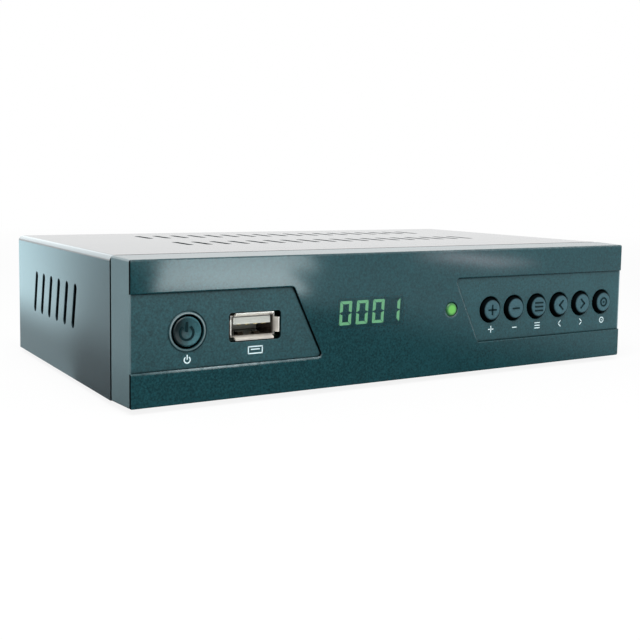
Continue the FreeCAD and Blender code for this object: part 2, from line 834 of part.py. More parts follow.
def front_bezel():
    """Moulded front: drafted sides, bores for the buttons, windows, screw bosses, lip and snap hooks."""
    body = new_body("front_bezel")
    pad(body, "top", FLOOR, CEILING,
        polygon((-FACE_HALF_WIDTH, PANEL), (FACE_HALF_WIDTH, PANEL), (HALF_WIDTH, SEAM), (-HALF_WIDTH, SEAM)))
    cut(body, "side", -HALF_WIDTH - spec.fit, HALF_WIDTH + spec.fit,
        polygon((PANEL, FACE_TOP), (SEAM, CEILING), (SEAM, CEILING + spec.fit), (PANEL, CEILING + spec.fit)))
    depth = number_of(SEAM) - number_of(PANEL)
    fillet(body, spec.bezel_corner, lambda edge: near(edge.BoundBox.YLength, depth))

    inside = FACE_HALF_WIDTH - spec.bezel_wall
    cut(body, "front", WALL_BACK, SEAM + spec.fit,
        rectangle(-inside, inside, FLOOR + spec.bezel_wall, FACE_TOP - spec.bezel_wall))

    lip_low = FLOOR + spec.steel + spec.fit
    lip_high = CEILING - spec.steel - spec.fit
    lip_inside = TRAY_HALF_WIDTH - spec.lip_wall
    pad(body, "front", SEAM, COVER_FRONT + spec.lip_length,
        rectangle(-TRAY_HALF_WIDTH, TRAY_HALF_WIDTH, lip_low, lip_high),
        rectangle(-lip_inside, lip_inside, lip_low + spec.lip_wall, lip_high - spec.lip_wall))
    fillet(body, spec.bezel_corner,
           lambda edge: runs_along(edge, "y") and (lies_at(edge, z=lip_low) or lies_at(edge, z=lip_high)))
    arm_low = FLOOR + spec.tray_front_height + spec.fit
    for x in (-spec.hook_spread, 0.0, spec.hook_spread):
        pad(body, "side", x - spec.hook_width / 2, x + spec.hook_width / 2, hook_outline(arm_low))

    pad(body, "front", PANEL - spec.ring_height, PANEL, circle(POWER_X, KEY_Z, spec.ring_diameter))
    ring_face = PANEL - spec.ring_height
    fillet(body, spec.ring_round, lambda edge: lies_at(edge, y=ring_face))
    cut(body, "front", PANEL - spec.bezel_wall, WALL_BACK + spec.fit,
        circle(POWER_X, KEY_Z, spec.power_bore),
        *keys_at(spec.key_bore))
    chamfer(body, spec.key_bore_chamfer,
            lambda edge: lies_at(edge, y=PANEL) and near(edge.BoundBox.ZLength, spec.key_bore))
    cut(body, "front", PANEL - spec.fit, WALL_BACK + spec.fit,
        box_at(USB_X, USB_Z, spec.usb_window_width, spec.usb_window_height))
    fillet(body, spec.usb_window_corner,
           lambda edge: runs_along(edge, "y") and near(abs(edge.BoundBox.Center.z - number_of(USB_Z)),
                                                       spec.usb_window_height / 2))
    cut(body, "front", PANEL - spec.fit, WALL_BACK + spec.fit,
        box_at(DISPLAY_X, DISPLAY_Z, spec.display_width + 2 * spec.fit,
               spec.display_block_height + 2 * spec.fit),
        circle(LIGHT_X, LIGHT_Z, spec.light_diameter + spec.fit),
        circle(REMOTE_X, REMOTE_Z, spec.remote_width))
    pad(body, "front", WALL_BACK - spec.fit, BOARD_FACE, *front_screws_at(spec.boss_diameter))
    cut(body, "front", WALL_BACK, BOARD_FACE + spec.fit, *front_screws_at(SMALL_SCREW_HOLE))
    for x in (USB_X - spec.usb_rail_spread, USB_X + spec.usb_rail_spread):
        pad(body, "front", WALL_BACK - spec.fit, USB_END,
            rectangle(x - spec.usb_rail / 2, x + spec.usb_rail / 2,
                      USB_BOARD_BOTTOM - spec.usb_rail_depth, USB_BOARD_BOTTOM))


def front_lens():
    """Glossy front piece, cut away beside its waist where the two matt panels lie."""
    body = new_body("front_lens")
    pad(body, "front", FRONT, PANEL, rectangle(-FACE_HALF_WIDTH, FACE_HALF_WIDTH, FLOOR, FACE_TOP))
    fillet(body, spec.bezel_corner, lambda edge: runs_along(edge, "y"))
    low = FLOOR + spec.panel_low
    high = FLOOR + spec.panel_high
    left_low = along_row(TO_USB + spec.left_panel_bottom)
    left_high = along_row(TO_USB + spec.left_panel_top)
    right_low = along_row(TO_FIRST_KEY - spec.right_panel_bottom)
    right_high = along_row(TO_FIRST_KEY - spec.right_panel_top)
    cut(body, "front", FRONT - spec.fit, PANEL + spec.fit,
        polygon((-HALF_WIDTH, low), (left_low, low), (left_high, high), (-HALF_WIDTH, high)),
        polygon((HALF_WIDTH, low), (HALF_WIDTH, high), (right_high, high), (right_low, low)))
    fillet(body, spec.panel_corner,
           lambda edge: runs_along(edge, "y") and abs(edge.BoundBox.Center.x) < number_of(HALF_WIDTH) / 2)
    cut(body, "front", FRONT - spec.fit, PANEL + spec.fit,
        circle(LIGHT_X, LIGHT_Z, spec.light_diameter + spec.fit))
    fillet(body, spec.lens_edge,
           lambda edge: near(edge.BoundBox.YMin, FRONT) and near(edge.BoundBox.YMax, FRONT))


def push_button(name, x, diameter, proud, edge_round, collar):
    """A cap with its collar and stem, from an origin on the panel's face, and its switch's plunger."""
    body = new_body(f"{name}_button")
    radius = diameter / 2
    collar_face = FLANGE_FRONT - PANEL
    collar_back = collar_face + spec.button_flange
    stem_end = collar_back + spec.stem_length
    revolve(body, (0.0, -proud), (radius, -proud), (radius, collar_face), (collar, collar_face),
            (collar, collar_back), (spec.stem_diameter / 2, collar_back), (spec.stem_diameter / 2, stem_end),
            (0.0, stem_end))
    fillet(body, edge_round,
           lambda edge: near(edge.BoundBox.YMax, -proud) and near(edge.BoundBox.XMax, radius))
    place(body, x, PANEL, KEY_Z)

    plunger = new_body(f"{name}_plunger")
    pad(plunger, "front", 0.0, spec.plunger_length + spec.plunger_seat,
        circle(0.0, 0.0, spec.plunger_diameter))
    place(plunger, x, PANEL + stem_end, KEY_Z)
    return body


def power_button():
    """The largest cap, with a shallow dish in its face."""
    collar = spec.power_bore / 2 + spec.button_flange
    body = push_button("power", POWER_X, spec.power_diameter, spec.power_proud, spec.power_edge, collar)
    rim = spec.power_diameter / 2 - spec.power_edge
    radius = (rim * rim + spec.power_dish * spec.power_dish) / (2 * spec.power_dish)
    dish = body.newObject("PartDesign::SubtractiveSphere", "dish")
    bind(dish, "Radius", radius)
    bind(dish, "Placement.Base.y", spec.power_dish - spec.power_proud - radius)


def keys():
    """Six caps in a row, whose collars nearly meet behind the wall."""
    names = ("plus", "minus", "menu", "left", "right", "ok")
    for index in range(SIZES["key_count"]):
        push_button(names[index], key_place(index), spec.key_diameter, spec.key_proud, spec.key_edge,
                    (KEY_PITCH - spec.fit) / 2)


def switches_at(size):
    """A square at each key switch of the front board."""
    places = [POWER_X] + [key_place(index) for index in range(SIZES["key_count"])]
    return [box_at(x, KEY_Z, size, size) for x in places]


def key_switches():
    body = new_body("key_switches")
    face = BOARD_FACE - spec.switch_height
    pad(body, "front", face, BOARD_FACE, *switches_at(spec.switch_width))
    bore = spec.plunger_diameter + spec.fit
    cut(body, "front", face - spec.fit, face + spec.plunger_seat + spec.button_travel + spec.fit,
        circle(POWER_X, KEY_Z, bore), *keys_at(bore))


def front_board():
    body = new_body("front_board")
    half_opening = spec.usb_window_width / 2 + spec.board_margin
    pad(body, "front", BOARD_FACE, BOARD_BACK,
        rectangle(-FRONT_BOARD_HALF_WIDTH, FRONT_BOARD_HALF_WIDTH, FRONT_BOARD_BOTTOM, FRONT_BOARD_TOP))
    cut(body, "front", BOARD_FACE - spec.fit, BOARD_BACK + spec.fit,
        *front_screws_at(SMALL_SCREW_HOLE),
        rectangle(USB_X - half_opening, USB_X + half_opening,
                  USB_BOARD_BOTTOM - spec.usb_rail_depth - spec.board_margin,
                  USB_Z + spec.usb_window_height / 2))


def front_board_screws():
    body = new_body("front_board_screws")
    head_back = BOARD_BACK + spec.screw_head_height
    pad(body, "front", BOARD_BACK, head_back, *front_screws_at(spec.small_screw_head))
    pad(body, "front", WALL_BACK + spec.screw_grip, BOARD_BACK, *front_screws_at(spec.small_screw_diameter))
    fillet(body, spec.screw_head_round, lambda edge: lies_at(edge, y=head_back))


# ---------------------------------------------------------------------------------------------------
# Display and status light
# ---------------------------------------------------------------------------------------------------
SEGMENTS = "abcdefg"
SHOWN = {0: "abcdef", 1: "bc"}
DIGITS = (0, 0, 0, 1)
TILE_FACE = PANEL + spec.fit / 2


def display_module():
    body = new_body("display_module")
    pad(body, "front", TILE_FACE + spec.segment_depth, BOARD_FACE,
        box_at(DISPLAY_X, DISPLAY_Z, spec.display_width, spec.display_block_height))


def segment_corners(name):
    """Corners of one segment in an upright digit, from the digit's lower left corner."""
    width, height, stroke, gap = spec.digit_width, spec.digit_height, spec.segment_width, spec.segment_gap
    middle = height / 2
    inner = stroke + gap
    if name == "a":
        return [(gap, height), (inner, height - stroke), (width - inner, height - stroke),
                (width - gap, height)]
    if name == "d":
        return [(gap, 0.0), (width - gap, 0.0), (width - inner, stroke), (inner, stroke)]
    if name == "g":
        return [(inner, middle - stroke / 2), (width - inner, middle - stroke / 2),
                (width - inner, middle + stroke / 2), (inner, middle + stroke / 2)]
    near_edge, far_edge = (0.0, stroke) if name in "ef" else (width, width - stroke)
    if name in "bf":
        return [(near_edge, height - gap), (near_edge, middle + gap), (far_edge, middle + stroke / 2 + gap),
                (far_edge, height - inner)]
    return [(near_edge, gap), (far_edge, inner), (far_edge, middle - stroke / 2 - gap),
            (near_edge, middle - gap)]


def segment(digit, name):
    """One segment's outline on the display, leaning as the digits do."""
    row_left = DISPLAY_X - (len(DIGITS) * spec.digit_pitch) / 2
    left = row_left + digit * spec.digit_pitch + (spec.digit_pitch - spec.digit_width) / 2
    low = DISPLAY_Z - spec.digit_height / 2
    lean = tangent(spec.digit_lean)
    corners = []
    for across, up in segment_corners(name):
        corners.append((left + across + (up - spec.digit_height / 2) * lean, low + up))
    return polygon(*corners)


def segments(label, lit):
    body = new_body(label)
    for digit, number in enumerate(DIGITS):
        names = [name for name in SEGMENTS if (name in SHOWN[number]) == lit]
        pad(body, "front", TILE_FACE, TILE_FACE + spec.segment_depth,
            *[segment(digit, name) for name in names])


def status_led():
    body = new_body("status_led")
    front = BOARD_FACE - spec.led_length
    pad(body, "front", front, BOARD_FACE, circle(LIGHT_X, LIGHT_Z, spec.led_diameter))
    fillet(body, spec.led_round, lambda edge: lies_at(edge, y=front))


def light_guide():
    """Clear rod that brings the lamp's light through the bezel to the lens."""
    body = new_body("light_guide")
    face = FRONT - spec.light_proud
    pad(body, "front", face, BOARD_FACE - spec.led_length, circle(LIGHT_X, LIGHT_Z, spec.light_diameter))
    fillet(body, spec.light_round, lambda edge: lies_at(edge, y=face))


def ir_receiver():
    """Remote control receiver: a block with a round lens that looks through its window in the bezel."""
    body = new_body("ir_receiver")
    block_face = WALL_BACK + spec.remote_width / 2
    lens_face = WALL_BACK - spec.remote_sink
    pad(body, "front", block_face, BOARD_FACE,
        box_at(REMOTE_X, REMOTE_Z, spec.remote_width, spec.remote_width))
    pad(body, "front", lens_face, block_face, circle(REMOTE_X, REMOTE_Z, spec.remote_lens))
    fillet(body, spec.remote_lens_round, lambda edge: lies_at(edge, y=lens_face))


# ---------------------------------------------------------------------------------------------------
# USB socket
# ---------------------------------------------------------------------------------------------------
USB_TONGUE_Z = USB_Z + spec.usb_tongue_rise


def usb_lip(body, side, up):
    """One flared lip at the mouth: up is +1 or -1 for the top and bottom, or for the right and left."""
    wall = spec.usb_wall
    if side == "side":
        middle, half, run = USB_Z, spec.usb_thickness / 2, spec.usb_width / 2 - spec.usb_flare_inset
        start, end = USB_X - run, USB_X + run
    else:
        middle, half, run = USB_X, spec.usb_width / 2, spec.usb_thickness / 2 - spec.usb_flare_inset
        start, end = USB_Z - run, USB_Z + run
    outer, inner = half + spec.usb_flare, half + spec.usb_flare - wall
    root = USB_MOUTH + spec.usb_flare_length
    ends = [(USB_MOUTH, middle + up * outer), (USB_MOUTH, middle + up * inner),
            (root, middle + up * (half - wall)), (root + wall, middle + up * (half - wall)),
            (root + wall, middle + up * half), (root, middle + up * half)]
    if side == "side":
        pad(body, side, start, end, polygon(*ends))
    else:
        pad(body, side, start, end, polygon(*[(across, depth) for depth, across in ends]))


def usb_shell():
    """Bent metal tube of the socket, with four flared lips and two springs pressed into its floor."""
    body = new_body("usb_shell")
    root = USB_MOUTH + spec.usb_flare_length
    wall = spec.usb_wall
    pad(body, "front", root, USB_END,
        box_at(USB_X, USB_Z, spec.usb_width, spec.usb_thickness),
        box_at(USB_X, USB_Z, spec.usb_width - 2 * wall, spec.usb_thickness - 2 * wall))
    for side in ("side", "top"):
        for up in (-1, 1):
            usb_lip(body, side, up)
    floor = USB_Z - spec.usb_thickness / 2 + wall
    middle = root + spec.usb_spring_length
    for x in (USB_X - spec.usb_spring_spread, USB_X + spec.usb_spring_spread):
        pad(body, "side", x - spec.usb_spring_width / 2, x + spec.usb_spring_width / 2,
            polygon((middle - spec.usb_spring_length / 2, floor - wall / 2),
                    (middle + spec.usb_spring_length / 2, floor - wall / 2),
                    (middle + spec.usb_spring_flat / 2, floor + spec.usb_spring_height),
                    (middle - spec.usb_spring_flat / 2, floor + spec.usb_spring_height)))


def usb_tongue():
    """White insulator: a block across the back of the shell and the tongue that carries the contacts."""
    body = new_body("usb_tongue")
    inner_width = spec.usb_width - 2 * spec.usb_wall - spec.fit
    inner_height = spec.usb_thickness - 2 * spec.usb_wall - spec.fit
    back_face = USB_END - spec.usb_back
    pad(body, "front", back_face, USB_END, box_at(USB_X, USB_Z, inner_width, inner_height))
    pad(body, "front", USB_MOUTH + spec.usb_tongue_sink, back_face + spec.fit,
        box_at(USB_X, USB_TONGUE_Z, spec.usb_tongue_width, spec.usb_tongue_thickness))


def usb_contacts():
    body = new_body("usb_contacts")
    high = USB_TONGUE_Z - spec.usb_tongue_thickness / 2
    count = SIZES["usb_contact_count"]
    places = [USB_X + (index - (count - 1) / 2) * spec.usb_contact_pitch for index in range(count)]
    pad(body, "front", USB_MOUTH + spec.usb_tongue_sink + spec.usb_wall, USB_END - spec.usb_back,
        *[rectangle(x - spec.usb_contact_width / 2, x + spec.usb_contact_width / 2,
                    high - spec.usb_contact_thickness, high) for x in places])


def usb_board():
    body = new_body("usb_board")
    half = spec.usb_board_width / 2
    start = WALL_BACK + spec.fit
    pad(body, "top", USB_BOARD_BOTTOM, USB_BOARD_TOP,
        rectangle(USB_X - half, USB_X + half, start, start + spec.usb_board_length))


# ---------------------------------------------------------------------------------------------------
# Main board
# ---------------------------------------------------------------------------------------------------
POWER_ROW_X = spec.power_row_inset - MAIN_BOARD_HALF_WIDTH


def main_board():
    body = new_body("main_board")
    pad(body, "top", MAIN_BOARD_BOTTOM, MAIN_BOARD_TOP,
        rectangle(-MAIN_BOARD_HALF_WIDTH, MAIN_BOARD_HALF_WIDTH, MAIN_BOARD_FRONT, MAIN_BOARD_REAR))
    cut(body, "top", MAIN_BOARD_BOTTOM - spec.fit, MAIN_BOARD_TOP + spec.fit, *board_screws_at(SCREW_HOLE))


def block(label, x, y, z, width, depth, height):
    """A plain block that stands on z, about x and y."""
    box = keep(doc.addObject("Part::Box", label), label)
    bind(box, "Length", width)
    bind(box, "Width", depth)
    bind(box, "Height", height)
    place(box, x - width / 2, y - depth / 2, z)
    return box


def main_chip():
    block("main_chip", 0.0, CHIP_Y, MAIN_BOARD_TOP, spec.chip_width, spec.chip_width, spec.chip_height)


def heat_sink():
    """Finned block on the main chip."""
    body = new_body("heat_sink")
    half = spec.sink_width / 2
    base = MAIN_BOARD_TOP + spec.chip_height
    fin_foot = base + spec.sink_base
    pad(body, "top", base, fin_foot, rectangle(-half, half, CHIP_Y - half, CHIP_Y + half))
    first = -(spec.sink_fin_count - 1) * spec.sink_fin_pitch / 2
    fin = pad(body, "top", fin_foot - spec.fit, base + spec.sink_height,
              rectangle(first - spec.sink_fin / 2, first + spec.sink_fin / 2, CHIP_Y - half, CHIP_Y + half))
    repeat(body, [fin], "X_Axis", spec.sink_fin_pitch, spec.sink_fin_count)


def memory_chips():
    body = new_body("memory_chips")
    pad(body, "top", MAIN_BOARD_TOP, MAIN_BOARD_TOP + spec.memory_height,
        *[box_at(x, CHIP_Y, spec.memory_width, spec.memory_length)
          for x in both_sides(SPREAD * spec.memory_spread)])


def capacitors():
    """Row of electrolytic capacitors beside the supply's inlet."""
    body = new_body("electrolytic_capacitors")
    top = MAIN_BOARD_TOP + spec.capacitor_height
    first = CHIP_Y - (spec.capacitor_count - 1) * spec.capacitor_pitch / 2
    can = pad(body, "top", MAIN_BOARD_TOP, top, circle(POWER_ROW_X, first, spec.capacitor_diameter))
    repeat(body, [can], "Y_Axis", spec.capacitor_pitch, spec.capacitor_count)


def inductors():
    body = new_body("power_inductors")
    x = POWER_ROW_X - spec.capacitor_pitch
    first = CHIP_Y - (spec.inductor_count - 1) * spec.inductor_pitch / 2
    coil = pad(body, "top", MAIN_BOARD_TOP, MAIN_BOARD_TOP + spec.inductor_height,
               box_at(x, first, spec.inductor_width, spec.inductor_width))
    repeat(body, [coil], "Y_Axis", spec.inductor_pitch, spec.inductor_count)


def crystal():
    """Oval metal can of the clock crystal, in front of the heat sink."""
    body = new_body("crystal")
    run = (spec.crystal_length - spec.crystal_width) / 2
    pad(body, "top", MAIN_BOARD_TOP, MAIN_BOARD_TOP + spec.crystal_height,
        slot(0.0, CHIP_Y - spec.sink_width / 2 - spec.crystal_width, run, 0.0, spec.crystal_width))


def headers_and_cable():
    """Flat cable from the front board down to the main board, and the header at each end."""
    width = spec.cable_width + 2 * spec.bezel_wall
    header_back = BOARD_BACK + spec.header_height
    header_top = MAIN_BOARD_TOP + spec.header_height
    drop = MAIN_BOARD_FRONT + spec.header_depth
    block("front_header", CABLE_X, BOARD_BACK + spec.header_height / 2, CABLE_Z - spec.header_depth / 2,
          width, spec.header_height, spec.header_depth)
    block("board_header", CABLE_X, drop, MAIN_BOARD_TOP, width, spec.header_depth, spec.header_height)

    body = new_body("flat_cable")
    half = spec.cable_thickness / 2
    left, right = CABLE_X - spec.cable_width / 2, CABLE_X + spec.cable_width / 2
    pad(body, "side", left, right,
        polygon((header_back, CABLE_Z - half), (drop - half, CABLE_Z - half), (drop - half, header_top),
                (drop + half, header_top), (drop + half, CABLE_Z + half), (header_back, CABLE_Z + half)))
    fillet(body, spec.cable_bend + spec.cable_thickness,
           lambda edge: runs_along(edge, "x") and lies_at(edge, y=drop + half, z=CABLE_Z + half))
    fillet(body, spec.cable_bend,
           lambda edge: runs_along(edge, "x") and lies_at(edge, y=drop - half, z=CABLE_Z - half))


# ---------------------------------------------------------------------------------------------------
# Sockets in the rear panel
# ---------------------------------------------------------------------------------------------------
TUNER_REAR = REAR_PANEL_FRONT - spec.f_collar_length


def hollow(label, outer_corner, outer_size, inner_corner, inner_size):
    """A box with a box taken out of it."""
    tools = []
    for corner, size in ((outer_corner, outer_size), (inner_corner, inner_size)):
        box = doc.addObject("Part::Box", f"{label}_box")
        for name, length in zip(("Length", "Width", "Height"), size):
            bind(box, name, length)
        place(box, *corner)
        tools.append(box)
    shell = doc.addObject("Part::Cut", label)
    shell.Base, shell.Tool = tools
    return keep(shell, label)


def tuner_can():
    wall = spec.tuner_wall
    left = F_X - spec.tuner_width / 2
    front = TUNER_REAR - spec.tuner_depth
    hollow("tuner_can",
           (left, front, MAIN_BOARD_TOP), (spec.tuner_width, spec.tuner_depth, spec.tuner_height),
           (left + wall, front + wall, MAIN_BOARD_TOP + wall),
           (spec.tuner_width - 2 * wall, spec.tuner_depth - 2 * wall, spec.tuner_height))


def tuner_lid():
    """Lid that fits over the can, with a short skirt."""
    wall, play = spec.tuner_wall, spec.fit / 2
    skirt = spec.tuner_skirt
    left = F_X - spec.tuner_width / 2 - play
    front = TUNER_REAR - spec.tuner_depth - play
    top = MAIN_BOARD_TOP + spec.tuner_height
    hollow("tuner_lid",
           (left - wall, front - wall, top - skirt),
           (spec.tuner_width + 2 * (wall + play), spec.tuner_depth + 2 * (wall + play), skirt + wall),
           (left, front, top - 2 * skirt),
           (spec.tuner_width + 2 * play, spec.tuner_depth + 2 * play, 2 * skirt))


def f_connector():
    """Aerial socket: a collar behind the panel and the round body that the plug's nut goes on."""
    body = new_body("f_connector")
    radius, bore = spec.f_diameter / 2, spec.f_bore / 2
    tip = REAR - TUNER_REAR + spec.f_reach
    collar, root = spec.f_collar / 2, radius - spec.f_relief
    thread_start = REAR_PANEL_BACK + spec.f_nut_length - TUNER_REAR
    revolve(body, (bore, 0.0), (collar, 0.0), (collar, spec.f_collar_length), (root, spec.f_collar_length),
            (root, thread_start), (radius, thread_start), (radius, tip), (bore, tip))
    chamfer(body, spec.f_chamfer,
            lambda edge: near(edge.BoundBox.YMin, tip) and near(edge.BoundBox.XMax, radius))
    place(body, F_X, TUNER_REAR, F_Z)


def f_insert():
    """White insulator inside the aerial socket, with the hole for the cable's core."""
    body = new_body("f_insert")
    tip = REAR - TUNER_REAR + spec.f_reach - spec.f_insert_sink
    hole, radius = spec.f_core_hole / 2, spec.f_bore / 2
    revolve(body, (hole, 0.0), (radius, 0.0), (radius, tip), (hole, tip))
    place(body, F_X, TUNER_REAR, F_Z)


def f_nut():
    """Flat hexagon nut that holds the aerial socket in the panel."""
    prism = doc.addObject("Part::Prism", "f_nut_hexagon")
    prism.Polygon = 6
    bind(prism, "Circumradius", spec.f_nut_width / math.sqrt(3))
    bind(prism, "Height", spec.f_nut_length)
    bore = doc.addObject("Part::Cylinder", "f_nut_bore")
    bind(bore, "Radius", (spec.f_diameter + spec.fit) / 2)
    bind(bore, "Height", spec.f_nut_length)
    nut = doc.addObject("Part::Cut", "f_nut")
    nut.Base, nut.Tool = prism, bore
    nut.Placement.Rotation = FreeCAD.Rotation(FreeCAD.Vector(1, 0, 0), -90)
    place(nut, F_X, REAR_PANEL_BACK, F_Z)
    keep(nut, "f_nut")


def rca_housing():
    """Moulded block of the sound output, with a disc through the panel and the post inside the shell."""
    body = new_body("rca_housing")
    half = spec.rca_width / 2
    disc_face = REAR + spec.fit
    pad(body, "front", REAR_PANEL_FRONT - spec.rca_depth, REAR_PANEL_FRONT,
        rectangle(RCA_X - half, RCA_X + half, MAIN_BOARD_TOP,
                  MAIN_BOARD_TOP + spec.rca_block_height))
    pad(body, "front", REAR_PANEL_FRONT, disc_face, circle(RCA_X, RCA_Z, spec.rca_disc))
    post = spec.rca_diameter - 2 * spec.rca_wall
    tip = REAR + spec.rca_reach - spec.rca_wall
    pad(body, "front", disc_face, tip, circle(RCA_X, RCA_Z, post))
    cut(body, "front", disc_face, tip + spec.fit, circle(RCA_X, RCA_Z, spec.rca_hole))


def rca_shell():
    body = new_body("rca_shell")
    pad(body, "front", REAR + spec.fit, REAR + spec.rca_reach,
        circle(RCA_X, RCA_Z, spec.rca_diameter),
        circle(RCA_X, RCA_Z, spec.rca_diameter - 2 * spec.rca_wall))


def hdmi_shell():
    body = new_body("hdmi_shell")
    pad(body, "front", REAR_PANEL_BACK - spec.hdmi_depth, REAR_PANEL_BACK + spec.steel,
        hdmi_outline(), hdmi_outline(spec.hdmi_wall))


def hdmi_insert():
    """Black insulator at the back of the shell and the thin tongue in its mouth."""
    body = new_body("hdmi_insert")
    start = REAR_PANEL_BACK - spec.hdmi_depth
    back = start + spec.hdmi_back
    pad(body, "front", start, back, hdmi_outline(spec.hdmi_wall))
    pad(body, "front", back - spec.fit, REAR_PANEL_BACK - spec.hdmi_wall,
        box_at(HDMI_X, HDMI_Z + spec.hdmi_wall, spec.hdmi_tongue_width, spec.hdmi_tongue_thickness))


def scart_contacts_at(width, height):
    """A rectangle at each contact of the socket's two rows."""
    middle = (SIZES["scart_contact_count"] - 1) / 2
    return [box_at(SCART_X + (index - middle) * spec.scart_contact_pitch + spec.scart_contact_width,
                   SCART_Z + row * spec.scart_row_spacing / 2, width, height)
            for index in range(SIZES["scart_contact_count"]) for row in (-1, 1)]


def scart_housing():
    """Moulded block of the picture output, and the nose with two rows of contact slots."""
    body = new_body("scart_housing")
    tip = REAR + spec.scart_reach - spec.scart_wall
    pad(body, "front", REAR_PANEL_FRONT - spec.scart_depth, REAR_PANEL_FRONT, scart_outline())
    pad(body, "front", REAR_PANEL_FRONT, tip, scart_outline(spec.scart_wall + spec.scart_gap))
    cut(body, "front", tip - spec.scart_slot_depth, tip + spec.fit,
        *scart_contacts_at(spec.scart_contact_width + 2 * spec.fit, spec.scart_contact_height + 2 * spec.fit))


def scart_contacts():
    body = new_body("scart_contacts")
    tip = REAR + spec.scart_reach - spec.scart_wall
    pad(body, "front", tip - spec.scart_slot_depth, tip - spec.scart_wall,
        *scart_contacts_at(spec.scart_contact_width, spec.scart_contact_height))


def scart_shield():
    body = new_body("scart_shield")
    pad(body, "front", REAR_PANEL_FRONT, REAR + spec.scart_reach,
        scart_outline(), scart_outline(spec.scart_wall))


def dc_jack():
    """Moulded inlet with a blind round hole, flush with the rear panel."""
    body = new_body("dc_jack")
    half = spec.dc_width / 2
    pad(body, "front", REAR_PANEL_BACK - spec.dc_depth, REAR_PANEL_BACK,
        rectangle(DC_X - half, DC_X + half, MAIN_BOARD_TOP,
                  MAIN_BOARD_TOP + spec.dc_block_height))
    cut(body, "front", REAR_PANEL_BACK - spec.dc_bore_depth, REAR_PANEL_BACK + spec.fit,
        circle(DC_X, DC_Z, spec.dc_bore))


def dc_pin():
    body = new_body("dc_pin")
    pad(body, "front", REAR_PANEL_BACK - spec.dc_bore_depth, REAR_PANEL_BACK - spec.steel,
        circle(DC_X, DC_Z, spec.dc_pin))
    fillet(body, spec.dc_pin_round, lambda edge: lies_at(edge, y=REAR_PANEL_BACK - spec.steel))


# ---------------------------------------------------------------------------------------------------
# Build, check and write
# ---------------------------------------------------------------------------------------------------
def build():
    for make in (top_cover, base_chassis, cover_screws, board_screws, rubber_feet,
                 front_bezel, front_lens, power_button, keys, key_switches, front_board, front_board_screws,
                 display_module, status_led, light_guide, ir_receiver,
                 usb_shell, usb_tongue, usb_contacts, usb_board,
                 main_board, main_chip, heat_sink, memory_chips, capacitors, inductors, crystal,
                 headers_and_cable, tuner_can, tuner_lid, f_connector, f_insert, f_nut,
                 rca_housing, rca_shell, hdmi_shell, hdmi_insert,
                 scart_housing, scart_contacts, scart_shield, dc_jack, dc_pin):
        make()
    segments("lit_segments", True)
    segments("unlit_segments", False)
    doc.recompute()


def check():
    """Stops the build where a feature failed or a sub-part has no sound shape."""
    for thing in doc.Objects:
        if "Invalid" in thing.State or "Error" in thing.State:
            raise RuntimeError(f"{thing.Label} is in state {thing.State}")
    for node in NODES:
        if node.Shape.isNull() or not node.Shape.isValid() or not node.Shape.Solids:
            raise RuntimeError(f"{node.Label} has no sound shape")


def write():
    os.makedirs("parts", exist_ok=True)
    for node in NODES:
        node.Shape.exportStep(os.path.join("parts", f"{node.Label}.step"))


build()
check()
write()
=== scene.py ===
"""Finishes a satellite receiver: its plastics, lacquer, metals, printed and raised marks, and its studio.

Metres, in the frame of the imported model: +X to the right as seen from the front, +Y to the back, +Z up.
"""
import math

import bmesh
import bpy
from bpy.props import FloatProperty, FloatVectorProperty, PointerProperty
from mathutils import Matrix, Vector


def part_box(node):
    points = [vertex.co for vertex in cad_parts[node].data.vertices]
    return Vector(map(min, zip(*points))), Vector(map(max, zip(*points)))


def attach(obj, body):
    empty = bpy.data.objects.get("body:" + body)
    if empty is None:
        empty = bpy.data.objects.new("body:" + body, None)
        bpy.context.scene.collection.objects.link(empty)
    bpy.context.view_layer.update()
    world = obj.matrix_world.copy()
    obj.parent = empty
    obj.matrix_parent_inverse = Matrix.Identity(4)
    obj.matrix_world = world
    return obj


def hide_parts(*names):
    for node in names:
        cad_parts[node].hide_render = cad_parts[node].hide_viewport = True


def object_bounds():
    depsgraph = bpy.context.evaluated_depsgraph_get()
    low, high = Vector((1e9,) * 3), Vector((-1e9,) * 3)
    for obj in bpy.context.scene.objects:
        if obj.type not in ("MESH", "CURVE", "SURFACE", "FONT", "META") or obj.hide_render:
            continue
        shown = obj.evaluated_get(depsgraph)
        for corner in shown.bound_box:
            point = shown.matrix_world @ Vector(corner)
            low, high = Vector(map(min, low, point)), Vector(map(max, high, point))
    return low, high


bl_info = {
    "name": "Satellite Receiver Finish",
    "version": (1, 0, 0),
    "blender": (4, 5, 0),
    "location": "3D View > Sidebar > Receiver",
    "description": "Materials, marks and studio of a satellite receiver",
    "category": "Object",
}

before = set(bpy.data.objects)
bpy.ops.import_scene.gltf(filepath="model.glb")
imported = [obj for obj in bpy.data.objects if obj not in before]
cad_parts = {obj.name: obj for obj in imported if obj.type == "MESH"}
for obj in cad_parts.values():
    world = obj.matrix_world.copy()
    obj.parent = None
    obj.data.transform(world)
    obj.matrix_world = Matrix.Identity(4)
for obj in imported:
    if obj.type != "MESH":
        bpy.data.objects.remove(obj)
CAD_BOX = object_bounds()
MM = 0.001
KEYS = ("plus", "minus", "menu", "left", "right", "ok")
BUTTONS = ("power",) + KEYS


# ---- What a user can change ----
def length(name, description, millimetres):
    return FloatProperty(name=name, description=description, default=millimetres * MM, min=0.0,
                         unit="LENGTH", precision=5)


def colour(name, description, red, green, blue):
    return FloatVectorProperty(name=name, description=description, default=(red, green, blue),
                               size=3, min=0.0, max=1.0, subtype="COLOR")


